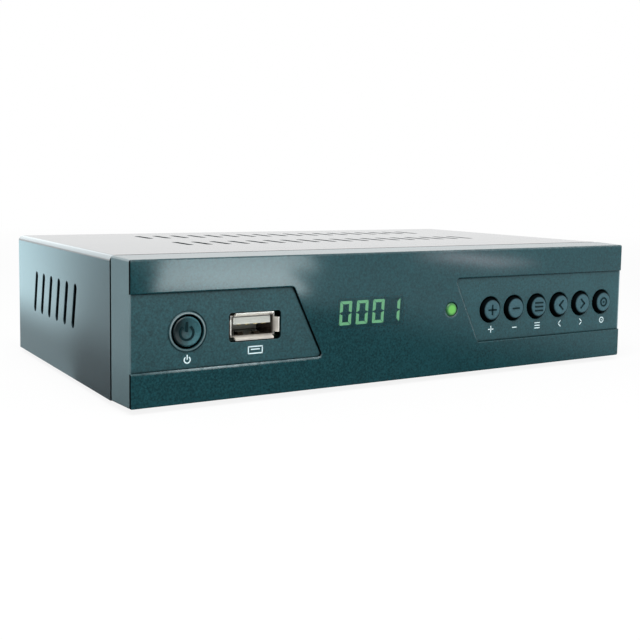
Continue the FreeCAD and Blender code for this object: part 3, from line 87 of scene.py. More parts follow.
class ReceiverMarks(bpy.types.PropertyGroup):
    """Sizes of the printed and the raised marks"""
    print_height: length("Print height", "Height of a printed mark", 2.2)
    print_stroke: length("Print stroke", "Width of a printed line", 0.32)
    print_drop: length("Print drop", "From a key's middle down to its printed mark", 6.2)
    print_shift: length("Print shift", "How far the print lies to the right of a key's middle", 0.5)
    power_drop: length("Power print drop", "From the power button's middle down to its mark", 7.2)
    socket_drop: length("Socket print drop", "From the front socket's middle down to its mark", 6.4)
    ink: length("Ink", "Thickness of the print", 0.02)
    power_height: length("Power mark height", "Height of the raised mark on the power button", 4.8)
    cap_height: length("Cap mark height", "Height of a raised mark on a key", 3.3)
    cap_stroke: length("Cap mark stroke", "Width of a raised line on a key", 0.55)
    cap_rise: length("Cap mark rise", "How far a mark stands off its cap", 0.12)
    power_sink: length("Power mark sink", "From the rim of the dished power cap in to its mark", 0.36)
    power_depth: length("Power mark depth", "Depth of the power button's mark, down into its cap", 0.60)


class ReceiverColours(bpy.types.PropertyGroup):
    """Colours of the outside"""
    lacquer: colour("Lacquer", "Paint of the folded cover", 0.014, 0.036, 0.046)
    bezel: colour("Bezel", "Fine-grained plastic of the front", 0.012, 0.064, 0.076)
    # The rim's tone, lighter than the bezel's, is a painted sheen.
    rim: colour("Rim", "Lacquered outside of the front moulding", 0.082, 0.148, 0.166)
    lens: colour("Lens", "Smoked glossy front piece", 0.007, 0.046, 0.055)
    cap: colour("Caps", "Plastic of the keys", 0.032, 0.100, 0.124)
    power_cap: colour("Power cap", "Plastic of the power button", 0.010, 0.040, 0.047)
    ink: colour("Ink", "Printed marks", 0.68, 0.88, 0.92)
    digits: colour("Digits", "Light of the display", 0.36, 0.92, 0.42)
    lamp: colour("Status lamp", "Light of the status lamp", 0.22, 0.75, 0.10)


class ReceiverStudio(bpy.types.PropertyGroup):
    """Camera and light"""
    place: FloatVectorProperty(name="Camera", description="Place of the camera", size=3,
                               default=(-0.17025, -0.28505, 0.05905), subtype="TRANSLATION", precision=5)
    heading: FloatProperty(name="Heading", description="Turn of the view to the right of straight back",
                           default=math.radians(31.184), subtype="ANGLE")
    dip: FloatProperty(name="Dip", description="Tilt of the view below the horizon",
                       default=math.radians(5.339), subtype="ANGLE")
    roll: FloatProperty(name="Roll", description="Turn of the camera about its own axis",
                        default=math.radians(0.830), subtype="ANGLE")
    lens: FloatProperty(name="Lens", description="Focal length on a 36 mm frame", default=54.558,
                        min=1.0, subtype="DISTANCE_CAMERA")
    shift: FloatProperty(name="Shift", description="Upward shift of the frame", default=-0.0745)
    ambient: FloatProperty(name="Ambient", description="Even light from all round", default=0.55, min=0.0)
    gloss: FloatProperty(name="Gloss", description="How bright the surroundings look in gloss",
                         default=0.88, min=0.0)
    floor_size: length("Floor", "Side of the square floor", 8000.0)


# ---- Shader nodes ----
def feed_socket(tree, socket, value):
    """Links a socket to the value where that is a socket itself, and else sets it."""
    if isinstance(value, bpy.types.NodeSocket):
        tree.links.new(value, socket)
    elif socket.type == "RGBA":
        socket.default_value = (*value, 1.0)
    else:
        socket.default_value = value


def feed(tree, node, **values):
    """Gives a node's inputs their values by name, with an underscore for each space."""
    for label, value in values.items():
        feed_socket(tree, node.inputs[label.replace("_", " ")], value)


def source(node, label):
    """The socket that feeds one of a node's inputs."""
    return node.inputs[label].links[0].from_socket


def add_node(tree, kind, **values):
    node = tree.nodes.new(f"ShaderNode{kind}")
    feed(tree, node, **values)
    return node


def math_node(tree, operation, *values, clamp=False):
    """A Math node, or a row of them where there are more than two values."""
    reached = values[0]
    for value in values[1:]:
        node = tree.nodes.new("ShaderNodeMath")
        node.operation = operation
        node.use_clamp = clamp
        feed_socket(tree, node.inputs[0], reached)
        feed_socket(tree, node.inputs[1], value)
        reached = node.outputs[0]
    return reached


def product(tree, *factors):
    return math_node(tree, "MULTIPLY", *factors)


def difference(tree, first, second):
    return math_node(tree, "SUBTRACT", first, second)


def highest(tree, *values):
    return math_node(tree, "MAXIMUM", *values)


def inverse(tree, share):
    """One where the share is zero, and zero where it is one."""
    return difference(tree, 1.0, share)


def mix_value(tree, share, first, second):
    """The first number where the share is zero, and the second where it is one."""
    return math_node(tree, "ADD", product(tree, inverse(tree, share), first), product(tree, share, second))


def mix_colour(tree, share, first, second):
    """The first colour where the share is zero, and the second where it is one."""
    node = tree.nodes.new("ShaderNodeMix")
    node.data_type = "RGBA"
    first_socket, second_socket = (socket for socket in node.inputs if socket.type == "RGBA")
    feed_socket(tree, node.inputs[0], share)
    feed_socket(tree, first_socket, first)
    feed_socket(tree, second_socket, second)
    return next(socket for socket in node.outputs if socket.type == "RGBA")


def brighten(tree, tone, level):
    """A colour times a level."""
    node = tree.nodes.new("ShaderNodeVectorMath")
    node.operation = "SCALE"
    feed_socket(tree, node.inputs[0], tone)
    feed(tree, node, Scale=level)
    return node.outputs[0]


def vector_node(tree, operation, *values):
    """The outputs of a Vector Math node: Vector, and Value where the operation gives a number."""
    node = tree.nodes.new("ShaderNodeVectorMath")
    node.operation = operation
    for socket, value in zip(node.inputs, values):
        feed_socket(tree, socket, value)
    return node.outputs


def map_range(tree, value, low, high, new_low, new_high, smooth=False):
    node = tree.nodes.new("ShaderNodeMapRange")
    node.interpolation_type = "SMOOTHSTEP" if smooth else "LINEAR"
    feed(tree, node, Value=value, From_Min=low, From_Max=high, To_Min=new_low, To_Max=new_high)
    return node.outputs["Result"]


def rising(tree, value, start, end, smooth=False):
    """Zero up to the start, and one from the end on."""
    return map_range(tree, value, start, end, 0.0, 1.0, smooth)


def falling(tree, value, start, end, smooth=False):
    """One up to the start, and zero from the end on."""
    return map_range(tree, value, start, end, 1.0, 0.0, smooth)


def band(tree, value, start, full, waning, end, smooth=False):
    """One between full and waning, and zero before the start and after the end."""
    return product(tree, rising(tree, value, start, full, smooth),
                   falling(tree, value, waning, end, smooth))


def noise(tree, place, scale, detail=2.0, roughness=0.5):
    """A noise texture, which swings about zero."""
    node = add_node(tree, "TexNoise", Vector=place, Scale=scale, Detail=detail, Roughness=roughness)
    return difference(tree, node.outputs["Fac"], 0.5)


def object_place(tree):
    return tree.nodes.new("ShaderNodeTexCoord").outputs["Object"]


def axes(tree, vector):
    """X, Y and Z of a vector at each point."""
    split = add_node(tree, "SeparateXYZ", Vector=vector)
    return split.outputs["X"], split.outputs["Y"], split.outputs["Z"]


def node_middle(name):
    low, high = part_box(name)
    return (low + high) / 2


def axis_distance(tree, middle):
    """How far each point is from the line along Y through a place."""
    offset = vector_node(tree, "SUBTRACT", object_place(tree), middle)["Vector"]
    across = vector_node(tree, "MULTIPLY", offset, (1.0, 0.0, 1.0))["Vector"]
    return vector_node(tree, "LENGTH", across)["Value"]


# ---- Shader node groups ----
MID_GREY = (0.5, 0.5, 0.5, 1.0)
NOISE_REACH = 4.0   # Widens the narrow swing of a noise to about one to each side.


def new_group(name, inputs, outputs):
    """An empty shader group with named sockets. Inputs are name: start value, and outputs name: kind."""
    group = bpy.data.node_groups.new(name, "ShaderNodeTree")
    for label, value in inputs.items():
        kind = "Float" if isinstance(value, float) else {3: "Vector", 4: "Color"}[len(value)]
        socket = group.interface.new_socket(name=label, in_out="INPUT", socket_type=f"NodeSocket{kind}")
        socket.default_value = value
    for label, kind in outputs.items():
        group.interface.new_socket(name=label, in_out="OUTPUT", socket_type=f"NodeSocket{kind}")
    return group, group.nodes.new("NodeGroupInput").outputs, group.nodes.new("NodeGroupOutput")


def build_grain_group():
    """Fine grain of moulded or painted surfaces: a colour with light and dark specks, and a height."""
    group, given, result = new_group(
        "fine_grain",
        {"Colour": MID_GREY, "Scale": 2500.0, "Contrast": 0.2, "Patches": 0.08},
        {"Colour": "Color", "Height": "Float"})
    patch_scale = 0.04
    place = object_place(group)
    specks = noise(group, place, given["Scale"], detail=3.0, roughness=0.65)
    patches = noise(group, place, product(group, given["Scale"], patch_scale))
    level = math_node(group, "ADD", 1.0, product(group, specks, given["Contrast"], NOISE_REACH),
                      product(group, patches, given["Patches"], NOISE_REACH))
    feed(group, result, Colour=brighten(group, given["Colour"], highest(group, level, 0.0)), Height=specks)


def build_edge_group():
    """Outer edges in a second colour, broken up by noise, where handling polishes or lightens them; with
    Upward it is also a painted highlight, kept to the edges that face up.
    """
    group, given, result = new_group(
        "edge_wear_and_highlight",
        {"Colour": MID_GREY, "Worn Colour": MID_GREY, "Width": 0.3 * MM, "Amount": 0.4, "Upward": 0.0},
        {"Colour": "Color"})
    bevel = add_node(group, "Bevel", Radius=given["Width"])
    bevel.samples = 4
    rounded = bevel.outputs["Normal"]
    flat = group.nodes.new("ShaderNodeNewGeometry").outputs["Normal"]
    turned_away = falling(group, vector_node(group, "DOT_PRODUCT", rounded, flat)["Value"], 0.85, 0.99)
    chips = map_range(group, noise(group, object_place(group), 900.0, detail=4.0), -0.15, 0.10, 0.55, 1.0)
    _, _, tilt = axes(group, rounded)
    # With Upward, the lighter colour keeps to edges that face up: a painted highlight where light from
    # above catches them.
    facing = mix_value(group, given["Upward"], 1.0, rising(group, tilt, 0.0, 0.35))
    worn_and_lit_share = product(group, turned_away, chips, facing)
    mask = math_node(group, "MULTIPLY", worn_and_lit_share, given["Amount"], clamp=True)
    feed(group, result, Colour=mix_colour(group, mask, given["Colour"], given["Worn Colour"]))


def build_smudge_group():
    """Roughness that wanders with handling: faint smears and fine dust."""
    group, given, result = new_group(
        "smudges", {"Roughness": 0.3, "Spread": 0.06, "Scale": 60.0}, {"Roughness": "Float"})
    dust_share = 0.5
    place = object_place(group)
    smears = noise(group, place, given["Scale"], detail=4.0, roughness=0.6)
    dust = noise(group, place, 4000.0, detail=1.0)
    both = math_node(group, "ADD", smears, product(group, dust, dust_share))
    swing = product(group, both, 0.5 * NOISE_REACH, given["Spread"])
    feed(group, result, Roughness=math_node(group, "ADD", given["Roughness"], swing, clamp=True))


def build_rolling_group():
    """Rolling or brushing lines of sheet metal, which run along the axis with the smallest Stretch."""
    group, given, result = new_group(
        "rolled_metal",
        {"Colour": MID_GREY, "Stretch": (1.0, 12.0, 12.0), "Scale": 300.0, "Contrast": 0.12},
        {"Colour": "Color", "Height": "Float"})
    stretched = add_node(group, "Mapping", Vector=object_place(group), Scale=given["Stretch"])
    lines = noise(group, stretched.outputs["Vector"], given["Scale"], detail=5.0, roughness=0.7)
    level = math_node(group, "ADD", 1.0, product(group, lines, given["Contrast"], NOISE_REACH))
    feed(group, result, Colour=brighten(group, given["Colour"], level), Height=lines)


def place_group(tree, name, **values):
    """Puts a shared group into a material, with the values of its inputs by name."""
    node = tree.nodes.new("ShaderNodeGroup")
    node.node_tree = bpy.data.node_groups[name]
    feed(tree, node, **values)
    return node


# ---- Materials ----
GAP_TONE = (0.003, 0.006, 0.007)
GAP_ROUGHNESS = 0.85


def new_material(name, **sockets):
    """A material with its Principled shader and the plain values of that shader's sockets."""
    material = bpy.data.materials.new(name)
    material.use_nodes = True
    tree = material.node_tree
    shader = next(node for node in tree.nodes if node.type == "BSDF_PRINCIPLED")
    feed(tree, shader, **sockets)
    return material, tree, shader


def bump(tree, shader, height, depth):
    """Fine relief of a surface. Its depth is in millimetres."""
    relief = add_node(tree, "Bump", Height=height, Distance=depth * MM)
    feed(tree, shader, Normal=relief.outputs["Normal"])


def tint(tree, shader, share, tone):
    """Turns a surface's colour into the tone where the share is one."""
    feed(tree, shader, Base_Color=mix_colour(tree, share, source(shader, "Base Color"), tone))


def shade(tree, shader, mask):
    """Darkens and dulls a surface where the mask is one, as deep in a gap that no light reaches.

    It turns metallic there too, so that a dark colour has no pale shine left.
    """
    tint(tree, shader, mask, GAP_TONE)
    feed(tree, shader, Roughness=mix_value(tree, mask, source(shader, "Roughness"), GAP_ROUGHNESS),
         Metallic=mask)


def moulded(name, tone, roughness, grain=2500.0, contrast=0.12, relief=0.01, patches=0.03, worn=None,
            wear=0.3, width=0.3, upward=0.0, smears=60.0, spread=0.06, **sockets):
    """Moulded plastic or rubber: specks, faint patches, edges lightened by handling and, with upward, by a
    painted highlight, smears and a fine relief.

    The relief and the width of the lightened edges are in millimetres.
    """
    material, tree, shader = new_material(name, **sockets)
    specks = place_group(tree, "fine_grain", Colour=tone, Scale=grain, Contrast=contrast, Patches=patches)
    # The edge colour stands for handling and, with upward, for a painted highlight on edges that face up.
    lighter = worn or tuple(min(1.0, 1.8 * part + 0.02) for part in tone)
    edges = place_group(tree, "edge_wear_and_highlight", Colour=specks.outputs["Colour"], Worn_Colour=lighter,
                        Amount=wear, Width=width * MM, Upward=upward)
    gloss = place_group(tree, "smudges", Roughness=roughness, Spread=spread, Scale=smears)
    feed(tree, shader, Base_Color=edges.outputs["Colour"], Roughness=gloss.outputs["Roughness"])
    bump(tree, shader, specks.outputs["Height"], relief)
    return material, tree, shader


def metal(name, tone, roughness, stretch, contrast, metallic):
    """Plated or rolled metal: stretched lines in colour and relief, and smudged gloss."""
    material, tree, shader = new_material(name, Metallic=metallic)
    lines = place_group(tree, "rolled_metal", Colour=tone, Stretch=stretch, Contrast=contrast)
    gloss = place_group(tree, "smudges", Roughness=roughness, Spread=0.08, Scale=120.0)
    feed(tree, shader, Base_Color=lines.outputs["Colour"], Roughness=gloss.outputs["Roughness"])
    bump(tree, shader, lines.outputs["Height"], 0.004)
    return material, tree, shader


# Plain metals: colour, roughness, stretch and contrast of their lines, and how metallic.
METALS = {
    "zinc_sheet": ((0.56, 0.58, 0.58), 0.38, (1.0, 9.0, 9.0), 0.10, 1.0),
    "bright_steel": ((0.66, 0.66, 0.64), 0.28, (1.0, 1.0, 6.0), 0.12, 1.0),
    "tin_plate": ((0.78, 0.71, 0.64), 0.20, (8.0, 1.0, 8.0), 0.10, 1.0),
    "gold_plate": ((0.83, 0.60, 0.26), 0.22, (6.0, 1.0, 6.0), 0.12, 1.0),
    "nickel_plate": ((0.70, 0.68, 0.64), 0.22, (6.0, 1.0, 6.0), 0.08, 1.0),
    "black_anodised": ((0.035, 0.035, 0.038), 0.40, (1.0, 10.0, 1.0), 0.12, 0.7),
}
# Plain plastics, rubber and paint: colour, roughness, scale and contrast of the grain, and its relief.
PLASTICS = {
    "black_steel": ((0.020, 0.020, 0.022), 0.35, 1800.0, 0.12, 0.004),
    "foot_rubber": ((0.020, 0.020, 0.021), 0.75, 1500.0, 0.12, 0.03),
    "cap_mark_plastic": ((0.001, 0.017, 0.021), 0.50, 2600.0, 0.15, 0.01),
    "plunger_plastic": ((0.60, 0.57, 0.50), 0.50, 2200.0, 0.05, 0.01),
    "switch_plastic": ((0.014, 0.014, 0.015), 0.50, 2200.0, 0.12, 0.01),
    "dark_segment": ((0.020, 0.045, 0.045), 0.50, 3000.0, 0.12, 0.01),
    "display_tile": ((0.008, 0.022, 0.026), 0.60, 3000.0, 0.12, 0.01),
    "filter_resin": ((0.030, 0.008, 0.018), 0.15, 3000.0, 0.05, 0.01),
    "white_insulator": ((0.72, 0.75, 0.70), 0.45, 2000.0, 0.05, 0.005),
    "orange_moulding": ((0.72, 0.20, 0.02), 0.32, 2000.0, 0.05, 0.01),
    "black_moulding": ((0.014, 0.014, 0.016), 0.42, 2300.0, 0.15, 0.008),
    "chip_compound": ((0.018, 0.018, 0.019), 0.55, 2600.0, 0.20, 0.01),
    "capacitor_sleeve": ((0.020, 0.035, 0.100), 0.25, 1500.0, 0.06, 0.01),
    "ferrite": ((0.045, 0.045, 0.047), 0.70, 1600.0, 0.25, 0.02),
    "header_plastic": ((0.64, 0.60, 0.50), 0.45, 2000.0, 0.05, 0.01),
}
# What sets a few of them apart besides.
EXTRAS = {
    "black_steel": {"Metallic": 0.4},
    "cap_mark_plastic": {"wear": 0.0, "Specular_IOR_Level": 0.15},
    "white_insulator": {"worn": (0.8, 0.8, 0.76)},
}


def plain(name):
    """One of the plain metals and plastics."""
    if name in METALS:
        return metal(name, *METALS[name])[0]
    return moulded(name, *PLASTICS[name], **EXTRAS.get(name, {}))[0]


def cover_lacquer():
    """Smooth dark lacquer on folded sheet, with a clear sheen and faint orange peel.

    The sheet's inner side and its cut front edge get painted shade.
    """
    tone = bpy.context.scene.receiver_colours.lacquer
    # Its edges that face up are lighter: partly from handling, partly a painted highlight.
    material, tree, shader = moulded("cover_lacquer", tone, 0.24, grain=1800.0, contrast=0.10, patches=0.02,
                                     relief=0.003, worn=(0.20, 0.24, 0.26), wear=0.25, upward=1.0,
                                     smears=25.0, spread=0.04, IOR=1.6, Coat_Roughness=0.10, Coat_IOR=1.6)
    low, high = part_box("top_cover")
    skin = 0.2 * MM   # How far in the sheet's outside ends and its inner side begins.
    bend = 2.0 * MM
    x, y, z = axes(tree, object_place(tree))
    # Painted shade on the sheet's inner side and on its cut front edge, where little light reaches.
    from_sides = (difference(tree, x, low.x), difference(tree, high.x, x))
    from_top = difference(tree, high.z, z)
    from_back = difference(tree, high.y, y)
    depths = [rising(tree, depth, skin, 2 * skin) for depth in (*from_sides, from_top, from_back)]
    corners = [rising(tree, math_node(tree, "ADD", side, from_top), bend, bend + 2 * skin)
               for side in from_sides]
    cut_edge_shade = falling(tree, y, low.y + 0.5 * skin, low.y + skin)
    dark = highest(tree, product(tree, *depths, *corners), cut_edge_shade)
    shade(tree, shader, dark)
    feed(tree, shader, Coat_Weight=inverse(tree, dark))
    return material


def group_with(tree, label):
    """The shared group in a material that has an input of this name."""
    return next(node for node in tree.nodes if node.type == "GROUP" and label in node.inputs)


def bezel_plastic():
    """Front moulding: grained in its recessed panels, lacquered on its rim with a lighter tone as painted
    sheen, and with painted shade in its gaps.
    """
    colours = bpy.context.scene.receiver_colours
    # Its lighter edges are partly handling and partly a painted highlight on those that face up.
    material, tree, shader = moulded("bezel_plastic", colours.bezel, 0.40, grain=1700.0, patches=0.10,
                                     relief=0.012, worn=(0.16, 0.25, 0.27), wear=0.45, upward=0.5,
                                     Coat_Roughness=0.20, Coat_IOR=1.9)
    low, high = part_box("front_lens")
    x, y, z = axes(tree, object_place(tree))

    rim = 0.3 * MM
    rim_contrast, panel_contrast = 0.08, 0.50
    panel = product(tree, band(tree, x, low.x + rim, low.x + 2 * rim, high.x - 2 * rim, high.x - rim),
                    falling(tree, z, high.z - 2 * rim, high.z - rim))
    # The rim's lighter colour here is a painted sheen.
    feed(tree, group_with(tree, "Contrast"), Colour=mix_colour(tree, panel, colours.rim, colours.bezel),
         Contrast=map_range(tree, panel, 0.0, 1.0, rim_contrast, panel_contrast))

    # The ring round the power button: a painted highlight on its crest and more so at its top, and a
    # painted shadow at its right foot.
    button = node_middle("power_button")
    ring_radius = 5.0 * MM
    crest_band = (4.64 * MM, 4.74 * MM, 4.86 * MM, 5.06 * MM)
    foot_band = (5.15 * MM, 5.25 * MM, 5.40 * MM, 5.60 * MM)
    reach = axis_distance(tree, button)
    crest = product(tree, band(tree, reach, *crest_band),
                    map_range(tree, z, button.z - ring_radius, button.z + ring_radius, 0.22, 0.80))
    tint(tree, shader, crest, (0.34, 0.40, 0.41))
    foot = product(tree, band(tree, reach, *foot_band),
                   map_range(tree, x, button.x, button.x + 2.0 * MM, 0.0, 0.8))

    # Painted shade: in the bores, in the gap between front and cover, at the ring's foot, and in the
    # panels' creases.
    panel_face = high.y
    bores = product(tree, panel, rising(tree, y, panel_face + 0.1 * MM, panel_face + 0.8 * MM))
    seam_gap = 0.9 * MM
    rim_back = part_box("top_cover")[0].y - seam_gap
    behind = rising(tree, y, rim_back + 0.02 * MM, rim_back + 0.15 * MM)
    crease_width = 0.7 * MM
    corner = add_node(tree, "AmbientOcclusion", Distance=crease_width)
    corner.samples = 8
    crease = product(tree, panel, map_range(tree, corner.outputs["AO"], 0.60, 0.90, 0.85, 0.0))
    dark = highest(tree, bores, behind, foot, crease)
    shade(tree, shader, dark)
    feed(tree, shader, Coat_Weight=inverse(tree, highest(tree, panel, dark)))
    return material


def lens_plastic():
    """Smoked glossy front. It is see-through only over the display, where the lit digits shine through."""
    tone = bpy.context.scene.receiver_colours.lens
    material, tree, shader = moulded("lens_plastic", tone, 0.09, grain=1700.0, contrast=0.50, patches=0.10,
                                     relief=0.0006, worn=(0.76, 0.90, 0.93), width=0.9, upward=1.0,
                                     spread=0.015)
    x, _, z = axes(tree, object_place(tree))

    # Light on the edges that face up: strongest on the left wing's lower ledge, even on the right wing.
    left_end, bright_start, bright_end, waist = (place * MM for place in (-84.0, -66.0, -58.0, -46.0))
    ledge_top = (14.0 * MM, 16.0 * MM)
    right_edge = (11.0 * MM, 12.5 * MM)
    ledge = product(tree, map_range(tree, x, left_end, bright_start, 0.12, 1.0),
                    map_range(tree, x, bright_end, waist, 1.0, 0.50), falling(tree, z, *ledge_top))
    left = highest(tree, ledge, map_range(tree, z, *ledge_top, 0.0, 0.18))
    right = map_range(tree, z, *right_edge, 0.0, 0.38)
    right_half = rising(tree, x, 0.0, 12.0 * MM)
    feed(tree, group_with(tree, "Upward"), Amount=mix_value(tree, right_half, left, right))

    surface = tree.nodes.new("ShaderNodeNewGeometry")
    sideways, _, _ = axes(tree, surface.outputs["Normal"])
    # Painted shade on the walls that face left.
    shade(tree, shader, falling(tree, sideways, -0.6, -0.3))

    low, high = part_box("lit_segments")
    soft = 1.5 * MM
    window = product(tree, band(tree, x, low.x - soft, low.x, high.x, high.x + soft, smooth=True),
                     band(tree, z, low.z - soft, low.z, high.z, high.z + soft, smooth=True))
    from_front = 0.22
    clearness = math_node(tree, "ADD", from_front,
                          product(tree, surface.outputs["Backfacing"], 1.0 - from_front))
    feed(tree, shader, Alpha=inverse(tree, product(tree, window, clearness)))
    return material


def cap_plastic(name, tone, node, edge, fade, strengths=(1.0, 1.0)):
    """Plastic of a cap, with painted shade on its edge, where it goes into its bore.

    The strengths are those of the tone at the cap's left and right side: painted shade and painted
    highlight, as light falls on a dished face.
    """
    material, tree, shader = moulded(name, tone, 0.30, grain=2200.0, contrast=0.35, patches=0.08,
                                     relief=0.006, wear=0.0)
    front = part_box(node)[0].y
    middle = node_middle(node).x
    x, y, _ = axes(tree, object_place(tree))
    # Painted light across the face: the strengths darken its left and lighten its right.
    painted_dish_light = map_range(tree, x, middle - 3.2 * MM, middle + 2.4 * MM, *strengths, smooth=True)
    feed(tree, shader, Base_Color=brighten(tree, source(shader, "Base Color"), painted_dish_light))
    # Painted shade on the edge that goes into the bore.
    shade(tree, shader, rising(tree, y, front + edge, front + edge + fade))
    return material


def ink():
    tone = bpy.context.scene.receiver_colours.ink
    return moulded("ink", tone, 0.5, grain=5000.0, contrast=0.05, patches=0.04, relief=0.002)[0]


def glow(name, tone, strength, base):
    """Lit plastic: a light with a faint grain and patches, where the lamp behind it reaches less."""
    material, tree, shader = new_material(name, Roughness=0.35, Emission_Strength=strength, Base_Color=base)
    specks = place_group(tree, "fine_grain", Colour=tone, Scale=1200.0, Contrast=0.14, Patches=0.06)
    feed(tree, shader, Emission_Color=specks.outputs["Colour"])
    return material


def light_rod():
    """End of the light guide: bright in the middle and dim towards its rim."""
    tone = bpy.context.scene.receiver_colours.lamp
    material, tree, shader = new_material("light_rod", Roughness=0.25, Emission_Strength=0.60,
                                          Base_Color=(0.02, 0.08, 0.03))
    low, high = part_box("light_guide")
    radius = (high.x - low.x) / 2
    reach = axis_distance(tree, node_middle("light_guide"))
    dimmed = rising(tree, reach, 0.45 * radius, 0.98 * radius, smooth=True)
    feed(tree, shader, Emission_Color=mix_colour(tree, dimmed, tone, (0.01, 0.07, 0.03)))
    return material


def flared_plate():
    """Bright lips of the front socket, whose plating gets painted shade, dark brown, inside the mouth."""
    material, tree, shader = metal("flared_plate", (0.95, 0.90, 0.83), 0.16, stretch=(8.0, 1.0, 8.0),
                                   contrast=0.10, metallic=0.55)
    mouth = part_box("usb_shell")[0].y
    _, y, _ = axes(tree, object_place(tree))
    depth = rising(tree, y, mouth + 0.6 * MM, mouth + 2.4 * MM)
    # Painted shade deeper in the mouth.
    tint(tree, shader, depth, (0.085, 0.065, 0.050))
    return material


def board_lacquer(name="board_lacquer", light=1.0):
    """Solder resist over copper: a lattice of paler tracks under a glossy coat; a light below one dims the
    colours, as painted shade.
    """
    material, tree, shader = new_material(name, Roughness=0.35, Coat_Weight=0.5)
    tones = {"Color1": (0.010, 0.110, 0.040), "Color2": (0.014, 0.140, 0.052),
             "Mortar": (0.030, 0.200, 0.080)}
    dimmed = {label: [light * part for part in tone] for label, tone in tones.items()}
    tracks = add_node(tree, "TexBrick", Vector=object_place(tree), Scale=160.0, Mortar_Size=0.03, **dimmed)
    tracks.offset = 0.5
    specks = place_group(tree, "fine_grain", Colour=tracks.outputs["Color"], Scale=1500.0, Contrast=0.08)
    feed(tree, shader, Base_Color=specks.outputs["Colour"])
    bump(tree, shader, tracks.outputs["Fac"], 0.02)
    return material


def ribbon_cable():
    """Flat cable of parallel wires under one grey skin."""
    material, tree, shader = new_material("ribbon_cable", Roughness=0.45)
    wires = add_node(tree, "TexWave", Vector=object_place(tree), Scale=250.0)
    wires.wave_type = "BANDS"
    wires.bands_direction = "X"
    tone = mix_colour(tree, wires.outputs["Fac"], (0.22, 0.23, 0.24), (0.36, 0.37, 0.38))
    feed(tree, shader, Base_Color=tone)
    bump(tree, shader, wires.outputs["Fac"], 0.2)
    return material


# ---- Pieces ----
def dress(material, *nodes):
    """Gives the frame's own nodes a material, or a plain finish by its name."""
    if isinstance(material, str):
        material = plain(material)
    for name in nodes:
        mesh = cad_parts[name].data
        mesh.materials.clear()
        mesh.materials.append(material)


def mesh_of(name, shape):
    """The mesh of a finished bmesh, which it frees."""
    mesh = bpy.data.meshes.new(name)
    shape.to_mesh(mesh)
    shape.free()
    return mesh


def add_object(name, data):
    """A new object of the scene, at the origin."""
    made = bpy.data.objects.new(name, data)
    bpy.context.scene.collection.objects.link(made)
    return made


def new_piece(name, shape, material, body="receiver"):
    """A finished bmesh as an object at the origin, on its body."""
    bmesh.ops.remove_doubles(shape, verts=shape.verts, dist=1e-7)
    bmesh.ops.recalc_face_normals(shape, faces=shape.faces)
    piece = add_object(name, mesh_of(name, shape))
    piece.data.materials.append(material)
    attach(piece, body)
    return piece


def add_bar(shape, start, end, width, front, back):
    """A flat bar with rounded corners between two places (x, z) of the front, from y front to y back."""
    rounding = 0.3 * width
    run = Vector((end[0] - start[0], 0.0, end[1] - start[1]))
    middle = Vector(((start[0] + end[0]) / 2, (front + back) / 2, (start[1] + end[1]) / 2))
    turn = Matrix.Rotation(-math.atan2(run.z, run.x), 4, "Y")
    size = Matrix.Diagonal((run.length + width, back - front, width, 1.0))
    made = bmesh.ops.create_cube(shape, size=1.0, matrix=Matrix.Translation(middle) @ turn @ size)
    corners = [edge for edge in {edge for vert in made["verts"] for edge in vert.link_edges}
               if abs(edge.verts[0].co.y - edge.verts[1].co.y) > (back - front) / 2]
    bmesh.ops.bevel(shape, geom=corners, offset=rounding, affect="EDGES", segments=3, profile=0.5,
                    material=-1)


def add_ring(shape, middle, radius, width, front, back, start, sweep):
    """A flat ring about a place of the front, or a part of one. Degrees, anticlockwise from the right."""
    angle = math.radians(start)
    inner, outer = radius - width / 2, radius + width / 2
    verts = [shape.verts.new((middle[0] + reach * math.cos(angle), depth,
                              middle[1] + reach * math.sin(angle)))
             for reach, depth in ((inner, front), (outer, front), (outer, back), (inner, back))]
    edges = [shape.edges.new((verts[index], verts[(index + 1) % 4])) for index in range(4)]
    degrees_per_step = 9
    whole = sweep >= 360.0
    made = bmesh.ops.spin(shape, geom=verts + edges, cent=(middle[0], 0.0, middle[1]),
                          axis=(0.0, -1.0, 0.0), angle=math.radians(sweep),
                          steps=round(sweep / degrees_per_step), use_merge=whole)
    if not whole:
        last = [piece for piece in made["geom_last"] if isinstance(piece, bmesh.types.BMEdge)]
        bmesh.ops.edgeloop_fill(shape, edges=edges)
        bmesh.ops.edgeloop_fill(shape, edges=last)


# A mark is drawn in units of its own height: bars from place to place, and a ring as its middle,
# radius, start and sweep.
MARK_BARS = {
    "power": [((0.0, 0.02), (0.0, 0.46))],
    "plus": [((-0.42, 0.0), (0.42, 0.0)), ((0.0, -0.42), (0.0, 0.42))],
    "minus": [((-0.36, 0.0), (0.36, 0.0))],
    "menu": [((-0.45, step), (0.45, step)) for step in (-0.38, 0.0, 0.38)],
    "left": [((0.22, 0.42), (-0.22, 0.0)), ((-0.22, 0.0), (0.22, -0.42))],
    "right": [((-0.22, 0.42), (0.22, 0.0)), ((0.22, 0.0), (-0.22, -0.42))],
    "ok": [((-0.02, 0.0), (0.02, 0.0))],
    "socket": [((-0.95, -0.42), (0.95, -0.42)), ((0.95, -0.38), (0.95, 0.38)),
               ((0.95, 0.42), (-0.95, 0.42)), ((-0.95, 0.38), (-0.95, -0.38)),
               ((-0.55, 0.08), (0.55, 0.08))],
}
MARK_RINGS = {"power": ((0.0, -0.08), 0.38, 125.0, 290.0), "ok": ((0.0, 0.0), 0.40, 0.0, 360.0)}


def draw_mark(shape, name, middle, height, stroke, front, back):
    def placed(spot):
        return middle.x + spot[0] * height, middle.z + spot[1] * height

    for start, end in MARK_BARS[name]:
        add_bar(shape, placed(start), placed(end), stroke, front, back)
    if name in MARK_RINGS:
        centre, radius, start, sweep = MARK_RINGS[name]
        add_ring(shape, placed(centre), radius * height, stroke, front, back, start, sweep)


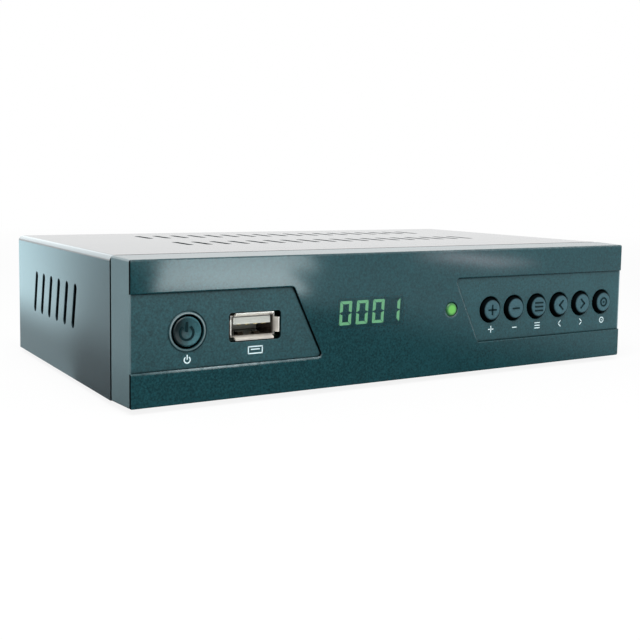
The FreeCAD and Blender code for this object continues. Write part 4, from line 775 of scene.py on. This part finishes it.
def turned(shape, middle, profile, steps):
    """A solid of revolution about an axis along Y through the middle, from (radius, y) corners."""
    verts = [shape.verts.new((middle.x + radius, depth, middle.z)) for radius, depth in profile]
    edges = [shape.edges.new(pair) for pair in zip(verts, verts[1:])]
    bmesh.ops.spin(shape, geom=verts + edges, cent=(middle.x, 0.0, middle.z), axis=(0.0, 1.0, 0.0),
                   angle=math.tau, steps=steps, use_merge=True)


def carve(piece, tool):
    """Cuts the tool, whose solids may cross, out of the piece for good, and removes the tool."""
    modifier = piece.modifiers.new("recess", "BOOLEAN")
    modifier.operation = "DIFFERENCE"
    modifier.solver = "EXACT"
    modifier.use_self = True
    modifier.object = tool
    finished = bpy.data.meshes.new_from_object(piece.evaluated_get(bpy.context.evaluated_depsgraph_get()))
    piece.modifiers.clear()
    cleaned = bmesh.new()
    cleaned.from_mesh(finished)
    bmesh.ops.dissolve_degenerate(cleaned, dist=0.002 * MM, edges=cleaned.edges)
    bmesh.ops.triangulate(cleaned, faces=cleaned.faces)
    cleaned.to_mesh(finished)
    cleaned.free()
    uncut = piece.data
    piece.data = finished
    bpy.data.meshes.remove(uncut)
    bpy.data.meshes.remove(tool.data)   # The tool's object goes with its mesh.


# ---- Operators ----
class RECEIVER_OT_shader_groups(bpy.types.Operator):
    """Builds the shader node groups that the materials share"""
    bl_idname = "receiver.shader_groups"
    bl_label = "Shader groups"

    def execute(self, context):
        build_grain_group()
        build_edge_group()
        build_smudge_group()
        build_rolling_group()
        return {"FINISHED"}


class RECEIVER_OT_case(bpy.types.Operator):
    """Finishes the folded cover, the tray, the feet and the screws"""
    bl_idname = "receiver.case"
    bl_label = "Case"

    def execute(self, context):
        dress(cover_lacquer(), "top_cover")
        dress("zinc_sheet", "base_chassis")
        dress("foot_rubber", "rubber_feet")
        dress("bright_steel", "board_screws", "front_board_screws")
        return {"FINISHED"}


class RECEIVER_OT_front(bpy.types.Operator):
    """Finishes the bezel, the lens, the buttons and what is behind them"""
    bl_idname = "receiver.front"
    bl_label = "Front"

    def execute(self, context):
        dress(bezel_plastic(), "front_bezel")
        dress(lens_plastic(), "front_lens")
        colours = context.scene.receiver_colours
        dress(cap_plastic("key_cap_plastic", colours.cap, "ok_button", edge=0.01 * MM, fade=0.22 * MM),
              *(f"{name}_button" for name in KEYS))
        dress(cap_plastic("power_cap_plastic", colours.power_cap, "power_button", edge=1.10 * MM,
                          fade=0.45 * MM, strengths=(0.3, 2.7)), "power_button")
        dress("plunger_plastic", *(f"{name}_plunger" for name in BUTTONS))
        dress("switch_plastic", "key_switches")
        dress(glow("lit_segment", colours.digits, 1.7, (0.10, 0.20, 0.12)), "lit_segments")
        dress("dark_segment", "unlit_segments")
        dress("display_tile", "display_module")
        dress(light_rod(), "light_guide")
        dress(glow("lamp_resin", colours.lamp, 1.5, (0.3, 0.5, 0.2)), "status_led")
        dress("filter_resin", "ir_receiver")
        return {"FINISHED"}


class RECEIVER_OT_sockets(bpy.types.Operator):
    """Finishes the sockets at the front and at the back"""
    bl_idname = "receiver.sockets"
    bl_label = "Sockets"

    def execute(self, context):
        dress(flared_plate(), "usb_shell")
        dress("tin_plate", "hdmi_shell", "scart_shield")
        dress("white_insulator", "usb_tongue", "f_insert")
        dress("gold_plate", "usb_contacts", "scart_contacts")
        dress("nickel_plate", "f_nut", "rca_shell", "dc_pin")
        dress("orange_moulding", "rca_housing")
        dress("black_moulding", "hdmi_insert", "scart_housing", "dc_jack")
        return {"FINISHED"}


class RECEIVER_OT_boards(bpy.types.Operator):
    """Finishes the boards and the parts on them"""
    bl_idname = "receiver.boards"
    bl_label = "Boards"

    def execute(self, context):
        dress(board_lacquer(), "front_board", "main_board")
        # The USB board gets the same lacquer, dimmed as painted shade.
        dress(board_lacquer("shaded_board_lacquer", 0.08), "usb_board")
        dress("chip_compound", "main_chip", "memory_chips")
        dress("black_anodised", "heat_sink")
        dress("capacitor_sleeve", "electrolytic_capacitors")
        dress("ferrite", "power_inductors")
        dress("bright_steel", "crystal", "tuner_can", "tuner_lid")
        dress("header_plastic", "front_header", "board_header")
        dress(ribbon_cable(), "flat_cable")
        return {"FINISHED"}


class RECEIVER_OT_prints(bpy.types.Operator):
    """Prints the marks under the buttons and the socket"""
    bl_idname = "receiver.prints"
    bl_label = "Printed marks"

    def execute(self, context):
        sizes = context.scene.receiver_marks
        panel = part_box("front_lens")[1].y
        material = ink()
        moves = {name: Vector((sizes.print_shift, 0.0, -sizes.print_drop)) for name in KEYS}
        moves["power"] = Vector((0.0, 0.0, -sizes.power_drop))
        moves["socket"] = Vector((0.0, 0.0, -sizes.socket_drop))
        for name, move in moves.items():
            middle = move + node_middle("usb_shell" if name == "socket" else f"{name}_button")
            shape = bmesh.new()
            draw_mark(shape, name, middle, sizes.print_height, sizes.print_stroke, panel - sizes.ink,
                      panel + sizes.ink)
            new_piece(f"{name}_print", shape, material)
        return {"FINISHED"}


class RECEIVER_OT_cap_marks(bpy.types.Operator):
    """Raises a mark on each button's cap"""
    bl_idname = "receiver.cap_marks"
    bl_label = "Raised marks"

    def execute(self, context):
        sizes = context.scene.receiver_marks
        material = plain("cap_mark_plastic")
        for name in BUTTONS:
            cap_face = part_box(f"{name}_button")[0].y
            front, back = cap_face - sizes.cap_rise, cap_face + sizes.cap_rise
            height = sizes.cap_height
            if name == "power":
                front = cap_face + sizes.power_sink
                back = front + sizes.power_depth
                height = sizes.power_height
            shape = bmesh.new()
            draw_mark(shape, name, node_middle(f"{name}_button"), height, sizes.cap_stroke, front, back)
            new_piece(f"{name}_cap_mark", shape, material, f"{name}_key")
        return {"FINISHED"}


class RECEIVER_OT_cover_screws(bpy.types.Operator):
    """Turns the cover's screws, with a cross recess in each head"""
    bl_idname = "receiver.cover_screws"
    bl_label = "Cover screws"

    head_radius: length("Head radius", "Radius of a screw's head", 2.8)
    shank_radius: length("Shank radius", "Radius of a screw's shank", 1.5)
    head_height: length("Head height", "Height of a screw's head", 1.6)
    recess: length("Recess", "Length of the cross recess", 3.0)
    recess_depth: length("Recess depth", "Depth of the cross recess", 0.96)

    def execute(self, context):
        low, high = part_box("cover_screws")
        top = high.y
        seat = top - self.head_height
        dome = self.head_height / 2
        dome_steps = 6
        profile = [(0.0, low.y), (self.shank_radius, low.y), (self.shank_radius, seat),
                   (self.head_radius, seat)]
        for step in range(dome_steps + 1):
            angle = math.tau / 4 * step / dome_steps
            profile.append((self.head_radius - dome + dome * math.cos(angle),
                            top - dome + dome * math.sin(angle)))
        profile.append((0.0, top))
        arm = (self.recess, self.recess_depth * 2, self.recess / 4)
        taper = (0.55, 1.0, 0.55)
        shape, recesses = bmesh.new(), bmesh.new()
        for x in (low.x + self.head_radius, 0.0, high.x - self.head_radius):
            middle = Vector((x, top, (low.z + high.z) / 2))
            turned(shape, middle, profile, steps=40)
            for degrees in (45.0, 135.0):
                turn = Matrix.Rotation(math.radians(degrees), 4, "Y")
                made = bmesh.ops.create_cube(recesses, size=1.0, matrix=(
                    Matrix.Translation(middle) @ turn @ Matrix.Diagonal((*arm, 1.0))))
                deep = [vert for vert in made["verts"] if vert.co.y < top]
                bmesh.ops.scale(recesses, vec=taper, verts=deep, space=Matrix.Translation(-middle))
        screws = new_piece("cover_screw_heads", shape, plain("black_steel"))
        bmesh.ops.recalc_face_normals(recesses, faces=recesses.faces)
        tool = add_object("recesses", mesh_of("recesses", recesses))
        carve(screws, tool)
        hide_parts("cover_screws")
        return {"FINISHED"}


class RECEIVER_OT_aerial_thread(bpy.types.Operator):
    """Turns the aerial socket with its fine thread"""
    bl_idname = "receiver.aerial_thread"
    bl_label = "Aerial socket"

    pitch: length("Pitch", "From one ridge of the thread to the next", 0.79)
    depth: length("Depth", "Depth of the thread", 0.35)
    radius: length("Radius", "Outside of the thread", 4.75)
    bore: length("Bore", "Inside of the socket", 3.4)
    collar_length: length("Collar", "Length of the collar behind the panel", 1.5)

    def execute(self, context):
        low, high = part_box("f_connector")
        collar = (high.x - low.x) / 2
        core = self.radius - self.depth
        start = low.y + self.collar_length
        profile = [(self.bore, low.y), (collar, low.y), (collar, start), (core, start)]
        for ridge in range(int((high.y - start) / self.pitch)):
            foot = start + ridge * self.pitch
            profile += [(self.radius, foot + 0.4 * self.pitch), (self.radius, foot + 0.6 * self.pitch),
                        (core, foot + self.pitch)]
        profile += [(core, high.y), (self.bore, high.y), (self.bore, low.y)]
        shape = bmesh.new()
        turned(shape, node_middle("f_connector"), profile, steps=72)
        socket = new_piece("aerial_socket_thread", shape, plain("nickel_plate"))
        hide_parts("f_connector")
        return {"FINISHED"}


# Softboxes: place, the point each one faces, width, height, power in watts and colour.
SOFTBOXES = {
    "overhead_softbox": ((-0.25, -0.35, 0.75), (0.0, 0.0, 0.0), 0.7, 0.5, 6.6, (1.0, 1.0, 1.0)),
    "back_softbox": ((-0.17, 0.80, 0.24), (-0.09, 0.0, 0.04), 0.55, 0.20, 0.28, (0.80, 0.95, 1.0)),
}
# Glows that lie on the floor and show in gloss only: place, turn in degrees, and as above from width on.
FLOOR_GLOWS = {
    "near_glow": ((0.0735, -0.334), 24.0, 0.080, 0.134, 0.255, (0.84, 0.97, 1.0)),
    "far_glow": ((0.147, -0.470), 27.0, 0.106, 0.172, 0.38, (0.84, 0.97, 1.0)),
    "right_glow": ((0.310, -0.400), 0.0, 0.045, 0.10, 0.070, (1.0, 0.92, 1.0)),
}
WHITE = (1.0, 1.0, 1.0)
RAYS_TO_THE_EYE = ("Is Camera Ray", "Is Transmission Ray", "Is Glossy Ray")


class RECEIVER_OT_stage(bpy.types.Operator):
    """Sets the camera, the floor, the lamps and the world"""
    bl_idname = "receiver.stage"
    bl_label = "Studio"

    def execute(self, context):
        studio = context.scene.receiver_studio
        context.scene.view_settings.view_transform = "Standard"
        set_camera(context, studio)
        lay_floor(studio)
        for name, (place, target, width, height, power, tone) in SOFTBOXES.items():
            softbox = add_lamp(name, width, height, power, tone)
            softbox.location = place
            softbox.rotation_mode = "QUATERNION"
            softbox.rotation_quaternion = (Vector(target) - Vector(place)).to_track_quat("-Z", "Z")
        for name, (place, turn, width, height, power, tone) in FLOOR_GLOWS.items():
            glow_lamp = add_lamp(name, width, height, power, tone)
            glow_lamp.location = (*place, 2.0 * MM)
            glow_lamp.rotation_euler = (math.pi, 0.0, math.radians(turn))
            glow_lamp.visible_diffuse = False
        light_world(context, studio)
        return {"FINISHED"}


def set_camera(context, studio):
    camera = add_object("camera", bpy.data.cameras.new("camera"))
    camera.matrix_world = (Matrix.Translation(studio.place) @ Matrix.Rotation(-studio.heading, 4, "Z")
                           @ Matrix.Rotation(math.pi / 2 - studio.dip, 4, "X")
                           @ Matrix.Rotation(studio.roll, 4, "Z"))
    camera.data.lens = studio.lens
    camera.data.shift_y = studio.shift
    camera.data.clip_start = 0.01
    context.scene.camera = camera


def add_lamp(name, width, height, power, tone):
    """A rectangular lamp that the camera doesn't see."""
    data = bpy.data.lights.new(name, "AREA")
    data.shape = "RECTANGLE"
    data.size, data.size_y = width, height
    data.energy = power
    data.color = tone
    lamp = add_object(name, data)
    lamp.visible_camera = False
    return lamp


def seen_by(tree, kinds):
    """One where a ray of any of these kinds arrives, and else zero."""
    path = tree.nodes.new("ShaderNodeLightPath")
    return math_node(tree, "ADD", *(path.outputs[kind] for kind in kinds), clamp=True)


def show_mix(tree, output_kind, share, first, second):
    """Ends a tree with two shaders: the first where the share is zero, and the second where it is one."""
    blend = tree.nodes.new("ShaderNodeMixShader")
    for socket, value in zip(blend.inputs, (share, first.outputs[0], second.outputs[0])):
        feed_socket(tree, socket, value)
    add_node(tree, output_kind, Surface=blend.outputs[0])


def mirrored_light(tree, place):
    """How bright the floor looks in gloss: bright far off and behind, and dark close to the receiver."""
    low = CAD_BOX[0]
    x, y, _ = axes(tree, place)

    # In front: a bright field that starts well ahead of the receiver, and another on its right.
    far_field = product(tree, falling(tree, y, low.y - 0.18, low.y - 0.11, smooth=True),
                        rising(tree, x, 0.040, 0.080, smooth=True))
    right_field = map_range(tree, x, 0.030, 0.130, 0.0, 1.1, smooth=True)
    front = highest(tree, far_field, right_field)

    # Beside and behind, left of the receiver: brighter at small bearings and away from its side.
    left_gap = difference(tree, low.x, x)
    bearing = math_node(tree, "ARCTAN2", left_gap, difference(tree, y, 0.25 * low.y))
    back = product(tree, map_range(tree, bearing, math.radians(11.5), math.radians(20.0), 1.70, 0.36,
                                   smooth=True),
                   map_range(tree, left_gap, 0.012, 0.050, 0.22, 1.0, smooth=True))
    return mix_value(tree, rising(tree, y, low.y, 0.0, smooth=True), front, back)


def floor_paper():
    """Pale paper that looks white, keeps the receiver's shadow, and darkens near it in reflections."""
    material = bpy.data.materials.new("floor_paper")
    material.use_nodes = True
    tree = material.node_tree
    tree.nodes.clear()
    place = object_place(tree)
    in_view = seen_by(tree, ("Is Camera Ray", "Is Transmission Ray"))
    in_gloss = product(tree, mirrored_light(tree, place), inverse(tree, in_view))
    lit = add_node(tree, "Emission", Color=mix_colour(tree, in_view, (0.66, 0.92, 1.0), WHITE),
                   Strength=math_node(tree, "ADD", in_view, in_gloss))
    paper = add_node(tree, "BsdfDiffuse", Color=(0.82, 0.82, 0.82))
    shadow_free = map_range(tree, vector_node(tree, "LENGTH", place)["Value"], 0.25, 0.9, 0.88, 1.0)
    show_mix(tree, "OutputMaterial", product(tree, seen_by(tree, RAYS_TO_THE_EYE), shadow_free), paper, lit)
    return material


def lay_floor(studio):
    shape = bmesh.new()
    bmesh.ops.create_grid(shape, x_segments=1, y_segments=1, size=studio.floor_size / 2)
    floor = add_object("floor", mesh_of("floor", shape))
    floor.data.materials.append(floor_paper())


def light_world(context, studio):
    """Even light on the receiver, and a white background in view and in gloss."""
    world = bpy.data.worlds.new("studio")
    context.scene.world = world
    world.use_nodes = True
    tree = world.node_tree
    tree.nodes.clear()
    dimmed = product(tree, seen_by(tree, ("Is Glossy Ray",)), 1.0 - studio.gloss)
    even = add_node(tree, "Background", Color=WHITE, Strength=studio.ambient)
    background = add_node(tree, "Background", Color=WHITE, Strength=inverse(tree, dimmed))
    show_mix(tree, "OutputWorld", seen_by(tree, RAYS_TO_THE_EYE), even, background)


OPERATORS = (RECEIVER_OT_stage, RECEIVER_OT_shader_groups, RECEIVER_OT_case, RECEIVER_OT_front,
             RECEIVER_OT_sockets, RECEIVER_OT_boards, RECEIVER_OT_prints, RECEIVER_OT_cap_marks,
             RECEIVER_OT_cover_screws, RECEIVER_OT_aerial_thread)
SETTINGS = {"receiver_marks": ReceiverMarks, "receiver_colours": ReceiverColours,
            "receiver_studio": ReceiverStudio}


class RECEIVER_PT_panel(bpy.types.Panel):
    """Lists the receiver's settings and steps"""
    bl_idname = "RECEIVER_PT_panel"
    bl_label = "Satellite Receiver"
    bl_space_type = "VIEW_3D"
    bl_region_type = "UI"
    bl_category = "Receiver"

    def draw(self, context):
        for name, group in SETTINGS.items():
            box = self.layout.box()
            for label in group.__annotations__:
                box.prop(getattr(context.scene, name), label)
        for operator in OPERATORS:
            self.layout.operator(operator.bl_idname)


def register():
    for group in SETTINGS.values():
        bpy.utils.register_class(group)
    for name, group in SETTINGS.items():
        setattr(bpy.types.Scene, name, PointerProperty(type=group))
    for operator in OPERATORS:
        bpy.utils.register_class(operator)
    bpy.utils.register_class(RECEIVER_PT_panel)


def unregister():
    bpy.utils.unregister_class(RECEIVER_PT_panel)
    for operator in reversed(OPERATORS):
        bpy.utils.unregister_class(operator)
    for name in SETTINGS:
        delattr(bpy.types.Scene, name)
    for group in reversed(SETTINGS.values()):
        bpy.utils.unregister_class(group)


def main():
    register()
    for operator in OPERATORS:
        group, name = operator.bl_idname.split(".")
        getattr(getattr(bpy.ops, group), name)()


if __name__ == "__main__":
    main()
